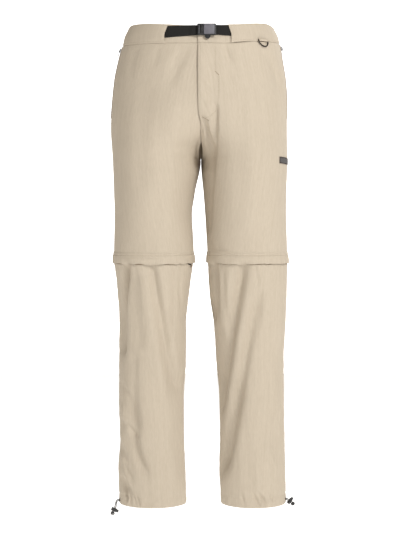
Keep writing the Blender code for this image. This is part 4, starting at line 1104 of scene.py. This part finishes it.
def makeKneeBand(side):
    run, roll = heights["flapTop"] - heights["flapBottom"], kneeBand["roll"]
    total = run + math.pi * roll + kneeBand["inside"]

    def shape(u, v):
        way = v * total
        down = np.clip(way / run, 0, 1)
        level, out, up = rolledHem(way, heights["flapTop"], run, roll)
        place, outward = aroundLeg(side, u, level)
        out = out + kneeBand["out"] + kneeBand["flare"] * down**0.75
        out = out - kneeBand["topDepth"] * (1 - ramp(way, 0.0, kneeBand["topRun"]))
        for row in kneeBand["stitchRows"]:
            out = out - kneeBand["stitchDip"] * hump(way - row, kneeBand["dipReach"])
        high, around, along = kneeBand["wide"]
        wide = high * softNoise(u * around, down * along, 10 + sides[side]) * down
        high, around, along = kneeBand["small"]
        patchy = (0.4 + softNoise(u * kneeBand["patches"], 0 * u, 3)) * (1 - down * 0.4)
        small = high * softNoise(u * around, down * along, 12 + sides[side]) * patchy
        out = out + np.where(up > 0, 0, 1) * (wide + small)
        place = place + outward * out[:, None]
        for (high, around), seed in zip(kneeBand["edgeWaves"], (14 + sides[side], 15)):
            place[:, 2] += high * softNoise(u * around, 0 * u, seed) * down
        return place, outward, np.stack([u * 0.5, way], axis=1)

    around = np.linspace(0, 1, 900)
    lines = [(around, 0 * around + row / total) for row in kneeBand["stitchRows"]]
    sewn = stitchRows(f"kneeBandStitches_{side}", shape, lines)
    columns, rows = kneeBand["columns"], kneeBand["rows"]
    obj = gridShell(f"kneeBand_{side}", columns, rows, shape, kneeBand["thick"], finish["khaki"], True)
    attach(obj, "trousers")
    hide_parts(f"knee_flap_{side}")


def makeKneeZip(side):
    def shape(u, v):
        level = heights["zipTop"] + (heights["zipBottom"] - heights["zipTop"]) * v
        place, outward = aroundLeg(side, u, level)
        out = kneeZip["crown"] * (np.sin(math.pi * v) - 1)
        return place + outward * out[:, None], outward, np.stack([u * 0.5, v * 0.01], axis=1)

    columns, rows = kneeZip["columns"], kneeZip["rows"]
    obj = gridShell(f"kneeZipTape_{side}", columns, rows, shape, kneeZip["thick"], finish["zipTape"], True)
    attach(obj, "trousers")
    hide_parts(f"knee_zip_{side}")
    u = np.arange(kneeZip["teeth"]) / kneeZip["teeth"]
    place, outward = aroundLeg(side, u, np.full(kneeZip["teeth"], kneeZip["coilLevel"]))
    along = np.roll(place, -1, axis=0) - np.roll(place, 1, axis=0)
    coil = beadRow(f"kneeZipCoil_{side}", place + outward * kneeZip["coilOut"], along, outward,
                   kneeZip["tooth"], finish["zipCoil"])
    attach(coil, "trousers")


for side in sides:
    makeKneeBand(side)
    makeKneeZip(side)
print("knees zipped")


# Belt webbing and its flat buckle

belt = {
    "columns": 96,
    "lines": 24,
    "thick": 0.0012,
    "webbing": 0.0015,
    "out": 0.0004,
    "step": 0.0027,
    "stepRun": (0.015, 0.030),
    "inside": 0.010,
    "high": 0.021,
    "rows": {"right": (0.0152, -0.0114, -0.0067), "left": (0.0163, -0.0076, -0.0052)},
    "starts": {"right": -0.0885, "left": 0.0760},
    "selvedge": 0.00028,
    "selvedgeAt": 0.0012,
    "selvedgeReach": 0.0006,
    "edgeDrop": 0.0006,
    "edgeRun": 0.0007,
    "mouthDrop": 0.0012,
    "mouthRun": (0.020, 0.004),
    "ripple": 0.00025,
    "flat": {"right": (0.092, 0.025), "left": (0.055, 0.025)},
}
buckle = {
    "left": -0.0078,
    "right": 0.0328,
    "top": 0.0176,
    "bottom": -0.0078,
    "depth": 0.0052,
    "clear": 0.0004,
    "plate": (0.0226, 0.0016, 0.0218),
    "plateCorner": 0.0016,
    "plateEdge": 0.00045,
    "plateOut": 0.0003,
    "plateX": 0.0180,
    "plateRise": 0.0002,
    "ribs": (0.0006, 0.0028, 0.0050),
    "ribRadius": 0.0009,
    "ribShort": 0.0050,
    "ribEdge": 0.0004,
    "tabX": 0.0145,
    "ridge": {"radius": 0.00035, "length": 0.0060, "pitch": 0.0011, "drop": 0.0030, "out": 0.0016},
}


def beltFace(side, x, z, out):
    # a place on the belt at x, z, this far out from the cloth, and the way out there
    angle = angleAt(side, "front", sides[side] * x, z)
    level = z - form["lean"](z) * bareForm(side, "front", angle, z)[..., 1]
    flat = bareForm(side, "front", angle, level)
    ahead = bareForm(side, "front", angle + 0.01, level) - bareForm(side, "front", angle - 0.01, level)
    outward = np.stack([ahead[..., 1], -ahead[..., 0], 0 * ahead[..., 0]], axis=-1)
    outward /= np.linalg.norm(outward, axis=-1, keepdims=True)
    outward *= np.where(outward[..., 1:2] > 0, -1, 1)
    lapped = belt["step"] * (1 - ramp(np.abs(x), *belt["stepRun"]))
    return flat + outward * (belt["out"] + lapped + out)[..., None], outward


def makeStrap(side):
    top, bottomEnd, bottomBuckle = belt["rows"][side]
    start = belt["starts"][side]
    stop = buckle["left"] + belt["inside"] if side == "right" else buckle["right"] - belt["inside"]
    mouthStart, mouthEnd = (abs(start) - run for run in belt["mouthRun"])

    def shape(u, v):
        x = start + (stop - start) * u
        bottom = bottomEnd + (bottomBuckle - bottomEnd) * u
        z = top + (bottom - top) * v
        edge = np.minimum(v, 1 - v) * belt["high"]
        ridge = belt["selvedge"] * hump(edge - belt["selvedgeAt"], belt["selvedgeReach"])
        drop = belt["edgeDrop"] * (1 - ramp(edge, 0.0, belt["edgeRun"]))
        mouth = belt["mouthDrop"] * ramp(np.abs(x), mouthStart, mouthEnd)
        ripple = belt["ripple"] * softNoise(u * 7, v * 1.2, 20)
        place, outward = beltFace(side, x, z, belt["webbing"] + ridge - drop - mouth + ripple)
        return place, outward, np.stack([x, z], axis=1)

    columns, rows = belt["columns"], belt["lines"]
    obj = gridShell(f"beltWebbing_{side}", columns, rows, shape, belt["thick"], finish["webbing"])
    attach(obj, "trousers")
    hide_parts(f"belt_{side}")


def buckleSeat():
    # the buckle's middle on the belt, leaning back as the right strap does
    middleX, middleZ = (buckle["left"] + buckle["right"]) / 2, (buckle["top"] + buckle["bottom"]) / 2
    out = np.array([belt["webbing"] + buckle["clear"]])
    edges = (belt["rows"]["right"][0], belt["rows"]["right"][2])
    top, foot = (beltFace("right", np.array([0.0]), np.array([z]), out)[0][0] for z in edges)
    slope = (top[1] - foot[1]) / (top[2] - foot[2])
    y = foot[1] + slope * (middleZ - foot[2])
    return Matrix.Translation((middleX, y, middleZ)) @ Matrix.Rotation(-math.atan(slope), 4, "X")


def addBar(bm, radius, length, around):
    made = bmesh.ops.create_cone(bm, cap_ends=True, segments=around, radius1=radius, radius2=radius,
                                 depth=length)
    return made["verts"]


def makeBucklePieces():
    seat = buckleSeat()
    middleX = (buckle["left"] + buckle["right"]) / 2
    front, height = -buckle["depth"], buckle["top"] - buckle["bottom"]
    bm = roundedBlock(buckle["plate"], buckle["plateCorner"], 5, buckle["plateEdge"])
    plateY = front - buckle["plateOut"] - buckle["plate"][1] / 2
    bmesh.ops.translate(bm, vec=(buckle["plateX"] - middleX, plateY, buckle["plateRise"]), verts=bm.verts)
    bmesh.ops.transform(bm, matrix=seat, verts=bm.verts)
    plate = newObject("bucklePlate", bm, finish["greyPlate"], 30)
    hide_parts("buckle_plate")
    bm = bmesh.new()
    for x in buckle["ribs"]:
        rib = addBar(bm, buckle["ribRadius"], height - buckle["ribShort"], 16)
        bmesh.ops.translate(bm, vec=(x - middleX, front, 0), verts=rib)
    roundOff(bm, [e for e in bm.edges if edgeRun(e, 2) < 1e-7], buckle["ribEdge"], 2)
    ridge = buckle["ridge"]
    for row in (-1, 0, 1):  # finger ridges on the press tab
        bar = addBar(bm, ridge["radius"], ridge["length"], 10)
        bmesh.ops.rotate(bm, matrix=Matrix.Rotation(math.pi / 2, 3, "Y"), verts=bar)
        z = row * ridge["pitch"] - height / 2 - ridge["drop"]
        bmesh.ops.translate(bm, vec=(buckle["tabX"] - middleX, front / 2 - ridge["out"], z), verts=bar)
    bmesh.ops.transform(bm, matrix=seat, verts=bm.verts)
    ribs = newObject("buckleRibs", bm, finish["blackPlastic"], 30)
    for obj in (plate, ribs):
        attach(obj, "trousers")


for side in sides:
    makeStrap(side)
makeBucklePieces()
print("belt buckled")


# Hip ring and the cloth loop that holds it

hipRing = {
    "place": (0.13602, -0.07467, -0.01218),
    "along": (0.79353, 0.60854, 0.0),
    "out": (0.60660, -0.79100, 0.07974),
    "down": (0.04853, -0.06328, -0.99682),
    "half": 0.0130,
    "wire": 0.0013,
    "loopOuter": 0.0023,
    "loopThick": 0.0007,
    "loopWidth": 0.0262,
    "loopRise": 0.0034,
    "loopTuck": 0.0012,
    "loopTuckRun": (0.0006, 0.0032),
    "loopEdgeIn": 0.0003,
    "loopCutWidth": 0.012,
    "stitchRise": 0.0012,
    "stitchPitch": 0.0022,
    "outline": [
        (-0.95, 0.0000), (-0.97, 0.0012), (-0.93, 0.0034), (-0.80, 0.0062), (-0.60, 0.0088), (-0.33, 0.0111),
        (0.00, 0.0127), (0.25, 0.0132), (0.47, 0.0130), (0.70, 0.0119), (0.88, 0.0098), (0.98, 0.0072),
        (1.00, 0.0046), (0.98, 0.0020), (0.93, 0.0004), (0.82, 0.0), (0.40, 0.0), (-0.40, 0.0),
        (-0.85, -0.0001),
    ],
}


def makeHipRing():
    place, along, out, down = (Vector(hipRing[key]) for key in ("place", "along", "out", "down"))
    points = [place + along * x * hipRing["half"] + down * drop for x, drop in hipRing["outline"]]
    loop = points[-2:] + points + points[:2]
    route = smoothRoute(loop, 4)[8:-9]
    ring = curvePiece("hipRingWire", route, hipRing["wire"], finish["darkMetal"], closed=True, around=4)
    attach(ring, "ring")
    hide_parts("d_ring")
    outer, rise = hipRing["loopOuter"], hipRing["loopRise"]
    bend = math.pi * outer
    base, way = np.array(hipRing["place"]), [np.array(hipRing[key]) for key in ("along", "out", "down")]

    def shape(u, v):
        run = v * (2 * rise + bend)
        turn = np.clip((run - rise) / bend, 0, 1) * math.pi
        frontUp, backUp = np.maximum(rise - run, 0), np.maximum(run - rise - bend, 0)
        drop = outer * np.sin(turn) - frontUp - backUp
        out = outer * np.cos(turn) - hipRing["loopTuck"] * ramp(frontUp, *hipRing["loopTuckRun"])
        across = (u - 0.5) * hipRing["loopWidth"]
        out = out - hipRing["loopEdgeIn"] * np.abs(2 * u - 1) ** 6 * np.sign(np.cos(turn))
        place = base + across[:, None] * way[0] + out[:, None] * way[1] + drop[:, None] * way[2]
        outward = np.cos(turn)[:, None] * way[1] + np.sin(turn)[:, None] * way[2]
        return place, outward, np.stack([u * hipRing["loopCutWidth"], run], axis=1)

    obj = gridShell("ringLoopCloth", 20, 40, shape, hipRing["loopThick"], finish["khaki"])
    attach(obj, "trousers")
    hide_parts("ring_loop")
    total = 2 * rise + bend
    across = np.linspace(0.08, 0.92, 60)
    line = (across, 0 * across + hipRing["stitchRise"] / total)
    sewn = stitchRows("ringLoopStitches", shape, [line], hipRing["stitchPitch"])


makeHipRing()
print("hip ring hung")


# Hand pocket zips along the side seams

pocketZip = {
    "top": -0.0165,
    "bottom": -0.1750,
    "columns": 22,
    "rows": 150,
    "thick": 0.0008,
    "front": 0.0045,
    "back": 0.0036,
    "edgeOut": 0.0009,
    "edgeFall": 0.0004,
    "edgeRun": (0.0032, 0.0045),
    "welt": 0.00035,
    "weltAt": 0.0025,
    "weltReach": 0.0009,
    "endFall": 0.0007,
    "endShare": 0.012,
    "coilOut": 0.00112,
    "coilEnds": 0.0030,
    "pitch": 0.0018,
    "stitchRows": (0.10, 0.92),
    "seamBlend": 0.0012,
    "tooth": (0.00055, 0.0015, 0.00055),
    "flat": (0.010, 0.162),
}


def sidePlace(side, across, level):
    # a place beside the side seam: across is a distance, forwards on the front and backwards on the back
    depth = np.where(across >= 0, np.abs(form["front"](level)), np.abs(form["back"](level)))
    front, frontOut = clothAt(side, "front", np.maximum(across, 0) / depth + 0.002, level)
    back, backOut = clothAt(side, "back", np.maximum(-across, 0) / depth + 0.002, level)
    share = ramp(across, -pocketZip["seamBlend"], pocketZip["seamBlend"])[:, None]
    outward = frontOut * share + backOut * (1 - share)
    return front * share + back * (1 - share), outward / np.linalg.norm(outward, axis=1, keepdims=True)


def makePocketZip(side):
    def shape(u, v):
        across = pocketZip["front"] - (pocketZip["front"] + pocketZip["back"]) * u
        level = pocketZip["top"] + (pocketZip["bottom"] - pocketZip["top"]) * v
        place, outward = sidePlace(side, across, level)
        off = np.abs(across)
        welt = pocketZip["welt"] * hump(off - pocketZip["weltAt"], pocketZip["weltReach"])
        ends = pocketZip["endFall"] * (1 - ramp(np.minimum(v, 1 - v), 0, pocketZip["endShare"]))
        out = pocketZip["edgeOut"] + welt - pocketZip["edgeFall"] * ramp(off, *pocketZip["edgeRun"]) - ends
        return place + outward * out[:, None], outward, np.stack([across, level], axis=1)

    columns, rows = pocketZip["columns"], pocketZip["rows"]
    obj = gridShell(f"pocketZipTape_{side}", columns, rows, shape, pocketZip["thick"], finish["zipTape"])
    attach(obj, "trousers")
    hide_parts(f"pocket_zip_{side}")
    first, last = pocketZip["top"] - pocketZip["coilEnds"], pocketZip["bottom"] + pocketZip["coilEnds"]
    level = np.arange(first, last, -pocketZip["pitch"])
    place, outward = sidePlace(side, 0 * level, level)
    along = np.gradient(place, axis=0)
    coil = beadRow(f"pocketZipCoil_{side}", place + outward * pocketZip["coilOut"], along, outward,
                   pocketZip["tooth"], finish["zipCoil"])
    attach(coil, "trousers")
    down = np.linspace(0.02, 0.98, 500)
    lines = [(0 * down + share, down) for share in pocketZip["stitchRows"]]
    sewn = stitchRows(f"pocketZipStitches_{side}", shape, lines)


# Sliders and the pulls that hang from them: each frame is the pull's top, out of the cloth, down and sideways

pullFrames = {
    "pocket_right": ((-0.18094, -0.00011, -0.02340), (-0.96171, -0.02541, 0.27288),
                     (-0.27399, 0.06641, -0.95944), (0.00626, -0.99747, -0.07083)),
    "pocket_left": ((0.18141, -0.00008, -0.01901), (0.98502, -0.01831, 0.17148),
                    (0.17229, 0.06060, -0.98318), (0.00761, 0.99799, 0.06285)),
    "knee_right": ((-0.02131, -0.03955, -0.50043), (0.89005, -0.45585, 0.0),
                   (0.0, 0.0, -1.0), (0.45585, 0.89005, 0.0)),
    "knee_left": ((0.02837, 0.03443, -0.49748), (-0.74422, 0.66794, 0.0),
                  (0.0, 0.0, -1.0), (-0.66794, -0.74422, 0.0)),
}
pullShape = {
    "slider": (0.0096, 0.0070, 0.0013),
    "sliderTail": 0.66,
    "sliderCorner": 0.0013,
    "sliderEdge": 0.00035,
    "bridgeWire": 0.00050,
    "linkWire": 0.00045,
    "tabEdge": 0.00035,
    "gap": 0.0002,
    "thick": 0.0013,
    "kneeShift": (0.0020, 0.0040),
    "bridge": [(-0.0033, -0.0002), (-0.0029, 0.0009), (-0.0018, 0.0017), (0.0, 0.0020), (0.0018, 0.0017),
               (0.0029, 0.0009), (0.0033, -0.0002)],
    "pocketLink": (0.0030, 0.0, 0.0054),
    "pocketTab": (0.0036, 0.0011, 0.0046, 0.0104),
    "pocketEnd": (0.0042, 0.0013, 0.0098, 0.0150),
    "kneeLink": (0.0018, 0.0003, 0.0030),
    "kneeTab": (0.0026, 0.0013, 0.0024, 0.0070),
}


def makeSlider(kind, side):
    top, out, down, across = (Vector(part) for part in pullFrames[f"{kind}_{side}"])
    along = -down if kind == "pocket" else across
    if kind == "knee":
        top = top - down * pullShape["kneeShift"][0] - along * pullShape["kneeShift"][1]
    length, width, thick = pullShape["slider"]
    middle = top - out * (pullShape["thick"] / 2 + pullShape["gap"] + thick / 2)
    cross = out.cross(along)
    matrix = Matrix.Translation(middle) @ Matrix((along, cross, out)).transposed().to_4x4()
    bm = bmesh.new()
    bmesh.ops.create_cube(bm, size=1.0)
    bmesh.ops.scale(bm, vec=(length, width, thick), verts=bm.verts)
    tail = [v for v in bm.verts if v.co.x < 0]
    bmesh.ops.scale(bm, vec=(1, pullShape["sliderTail"], 1), verts=tail)
    roundOff(bm, [e for e in bm.edges if edgeRun(e, 2) > thick * 0.9], pullShape["sliderCorner"], 4)
    roundOff(bm, [e for e in bm.edges if edgeRun(e, 2) < thick * 0.1], pullShape["sliderEdge"], 2)
    bmesh.ops.transform(bm, matrix=matrix, verts=bm.verts)
    body = newObject(f"{kind}ZipSlider_{side}", bm, finish["darkMetal"], 40)
    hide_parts(f"{kind}_slider_{side}")
    route = [matrix @ Vector((x, 0, thick / 2 + high)) for x, high in pullShape["bridge"]]
    bridge = curvePiece(f"{kind}SliderBridge_{side}", smoothRoute(route, 3), pullShape["bridgeWire"],
                        finish["darkMetal"], around=3)
    for obj in (body, bridge):
        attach(obj, "trousers")


def tabBlock(name, width, thick, first, last, matrix, material):
    # a flat tab from first to last down its pull
    bm = roundedBlock((width, thick, last - first), width * 0.30, 4, pullShape["tabEdge"])
    bmesh.ops.translate(bm, vec=(0, 0, -(first + last) / 2), verts=bm.verts)
    bmesh.ops.transform(bm, matrix=matrix, verts=bm.verts)
    return newObject(name, bm, material, 40)


def makePull(kind, side):
    top, out, down, across = (Vector(part) for part in pullFrames[f"{kind}_{side}"])
    matrix = Matrix.Translation(top) @ Matrix((across, -out, -down)).transposed().to_4x4()
    width, high, low = pullShape[f"{kind}Link"]
    loop = []
    for k in range(20):
        turn = 2 * math.pi * k / 20
        rise = -(high + low) / 2 + math.sin(turn) * (low - high) / 2
        loop.append(matrix @ Vector((math.cos(turn) * width / 2, 0, rise)))
    pieces = [curvePiece(f"{kind}PullLink_{side}", loop, pullShape["linkWire"], finish["darkMetal"],
                         closed=True, around=3)]
    size = pullShape[f"{kind}Tab"]
    if kind == "pocket":
        pieces.append(tabBlock(f"pocketPullTab_{side}", *size, matrix, finish["pullGrey"]))
        size = pullShape["pocketEnd"]
    colour = finish["pullDark" if kind == "pocket" else "pullBrown"]
    pieces.append(tabBlock(f"{kind}PullEnd_{side}", *size, matrix, colour))
    for obj in pieces:
        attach(obj, f"{kind}_tab_{side}")
    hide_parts(f"{kind}_pull_{side}")


for side in sides:
    makePocketZip(side)
    for kind in ("pocket", "knee"):
        makeSlider(kind, side)
        makePull(kind, side)
print("zips and pulls set")


# Bare patch on the left thigh

badge = {
    "level": -0.2723,
    "height": 0.0147,
    "turn": (0.14, 0.69),
    "distance": 0.11,
    "border": 0.0026,
    "borderOut": 0.0009,
    "borderCrest": 0.0006,
    "borderThick": 0.0006,
    "faceOut": 0.0012,
    "faceThick": 0.0004,
    "faceUnder": 0.85,
}


def makeBadge():
    first, last = badge["turn"]
    wide = (last - first) * badge["distance"]

    def patch(inset, height):
        # a piece of the patch this far inside its edge, out from the cloth by a height at each distance in
        def shape(u, v):
            edge = inset / badge["distance"]
            angle = first + edge + (last - first - 2 * edge) * u
            level = badge["level"] + (badge["height"] / 2 - inset) * (1 - 2 * v)
            place, outward = clothAt("left", "front", angle, level)
            across, down = wide - 2 * inset, badge["height"] - 2 * inset
            near = np.minimum(np.minimum(u, 1 - u) * across, np.minimum(v, 1 - v) * down)
            cut = np.stack([u * across, v * down], axis=1)
            return place + outward * height(near)[:, None], outward, cut
        return shape

    def borderHeight(near):
        crest = np.clip(1 - np.abs(near - badge["border"] / 2) / (badge["border"] / 2), 0, 1)
        return badge["borderOut"] + badge["borderCrest"] * np.sqrt(crest)

    def faceHeight(near):
        return near * 0 + badge["faceOut"]

    shape = patch(0.0, borderHeight)
    border = gridShell("badgeBorder", 96, 40, shape, badge["borderThick"], finish["badgeEdge"])
    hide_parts("badge")
    shape = patch(badge["border"] * badge["faceUnder"], faceHeight)
    face = gridShell("badgeBareFace", 48, 16, shape, badge["faceThick"], finish["badgeFace"])
    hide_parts("badge_face")
    for obj in (border, face):
        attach(obj, "trousers")


makeBadge()
print("patch sewn on")


# Fly stitching: a straight row down the fly, a bar, then the curve in to the fly's end

flyLine = {
    "edge": [(-0.0012, -0.0205), (-0.0012, -0.0900), (-0.0010, -0.1560)],
    "straight": [(0.0311, -0.0245), (0.0311, -0.0500), (0.0311, -0.0822)],
    "curve": [(0.0384, -0.0896), (0.0380, -0.1100), (0.0375, -0.1342), (0.0349, -0.1558), (0.0295, -0.1707),
              (0.0209, -0.1793), (0.0112, -0.1832)],
    "second": 0.0016,
    "bars": [((0.0311, -0.0822), (0.0382, -0.0897)), ((0.0037, -0.1810), (0.0177, -0.1903))],
    "barRows": (-0.0005, 0.0, 0.0005),
    "barPitch": 0.0011,
    "out": 0.00005,
}


def onLeftFront(x, level):
    place, outward = clothAt("left", "front", angleAt("left", "front", x, level), level)
    return place + outward * flyLine["out"], outward


def makeFlyStitches():
    lines = []
    for part in ("edge", "straight", "curve"):
        points = np.array([point[:2] for point in smoothRoute([Vector((*p, 0)) for p in flyLine[part]], 12)])
        for shift in (0.0, flyLine["second"]) if part == "curve" else (0.0,):
            lines.append((points[:, 0] + shift, points[:, 1] - shift * 0.4))
    stitchRows("flyStitches", onLeftFront, lines)
    way = np.linspace(0, 1, 40)
    bars = []
    for (x0, z0), (x1, z1) in flyLine["bars"]:
        for row in flyLine["barRows"]:
            bars.append((x0 + (x1 - x0) * way + row, z0 + (z1 - z0) * way + row))
    stitchRows("flyBarStitches", onLeftFront, bars, flyLine["barPitch"])


makeFlyStitches()
print("fly stitched")


# Better materials on the small hard parts that keep their CAD shape

kept = {
    "buckle_frame": "blackPlastic",
    "buckle_tab": "blackPlastic",
    "buckle_bar": "greyBar",
    "hem_eyelet_right": "darkMetal",
    "hem_eyelet_left": "darkMetal",
    "cord_lock_right": "blackPlastic",
    "cord_lock_left": "blackPlastic",
    "lock_button_right": "blackPlastic",
    "lock_button_left": "blackPlastic",
}
for node, key in kept.items():
    for slot in bpy.data.objects[node].material_slots:
        slot.material = finish[key]
print("hard parts finished")


# Stage: pale floor and wall, and soft light, stronger from the camera's right

stage = {
    "floorHeight": -1.16,
    "radius": 5.6,
    "overlap": 0.5,
    "wallHeight": 9.0,
    "wallSunk": 0.05,
    "colour": (0.90, 0.90, 0.90),
    "patchTone": 0.985,
    "patchScale": 3.0,
    "roughness": 0.9,
    "glow": 0.62,
    "wallGlow": 1.0,
    "ambient": 0.45,
    "sky": (1.0, 0.945, 0.865, 1.0),
    "key": {"place": (1.85, -2.45, 1.45), "size": 0.9, "power": 80, "aim": (0.0, 0.0, -0.20)},
    "fill": {"place": (-2.6, -2.4, -0.2), "size": 2.0, "power": 14, "aim": (0.0, 0.0, -0.55)},
    "rim": {"place": (1.6, 2.2, 1.2), "size": 1.4, "power": 30, "aim": (0.0, 0.0, -0.4)},
}


def makePale(name, glow):
    # a matt pale paint that glows a little, in two tones that hardly differ
    material, nodes, links, shader = newMaterial(name, stage["colour"], stage["roughness"])
    shader.inputs["Emission Color"].default_value = (1, 1, 1, 1)
    shader.inputs["Emission Strength"].default_value = glow
    noise = addNode(nodes, "TexNoise", Scale=stage["patchScale"], Detail=2.0)
    links.new(nodes.new("ShaderNodeTexCoord").outputs["Object"], noise.inputs["Vector"])
    pale = tuple(c * stage["patchTone"] for c in stage["colour"])
    tint = tintBetween(nodes, links, noise.outputs["Fac"], pale, stage["colour"])
    links.new(tint, shader.inputs["Base Color"])
    return material


def makeStage():
    radius, tall = stage["radius"], stage["wallHeight"]
    bm = bmesh.new()
    bmesh.ops.create_grid(bm, x_segments=2, y_segments=2, size=radius + stage["overlap"])
    bmesh.ops.translate(bm, vec=(0, 0, stage["floorHeight"]), verts=bm.verts)
    newObject("paleFloor", bm, makePale("pale floor", stage["glow"]))
    # a pale wall all round, so that every side is seen on the same white
    bm = bmesh.new()
    bmesh.ops.create_cone(bm, cap_ends=False, segments=96, radius1=radius, radius2=radius, depth=tall)
    middle = stage["floorHeight"] + tall / 2 - stage["wallSunk"]
    bmesh.ops.translate(bm, vec=(0, 0, middle), verts=bm.verts)
    bmesh.ops.reverse_faces(bm, faces=bm.faces[:])
    wall = newObject("paleWall", bm, makePale("pale wall", stage["wallGlow"]))
    # it neither lights nor shades the cloth
    wall.visible_diffuse = wall.visible_glossy = wall.visible_transmission = wall.visible_shadow = False


def makeLight(name):
    settings = stage[name]
    light = bpy.data.lights.new(name, "AREA")
    light.size = settings["size"]
    light.energy = settings["power"]
    obj = bpy.data.objects.new(name, light)
    obj.location = settings["place"]
    aim = Vector(settings["aim"]) - Vector(settings["place"])
    obj.rotation_euler = aim.to_track_quat("-Z", "Y").to_euler()
    bpy.context.scene.collection.objects.link(obj)


makeStage()
for name in ("key", "fill", "rim"):
    makeLight(name)
world = bpy.data.worlds.new("soft studio")
bpy.context.scene.world = world
world.use_nodes = True
world.node_tree.nodes["Background"].inputs["Color"].default_value = stage["sky"]
world.node_tree.nodes["Background"].inputs["Strength"].default_value = stage["ambient"]
bpy.context.scene.view_settings.view_transform = "Standard"
print("stage lit")
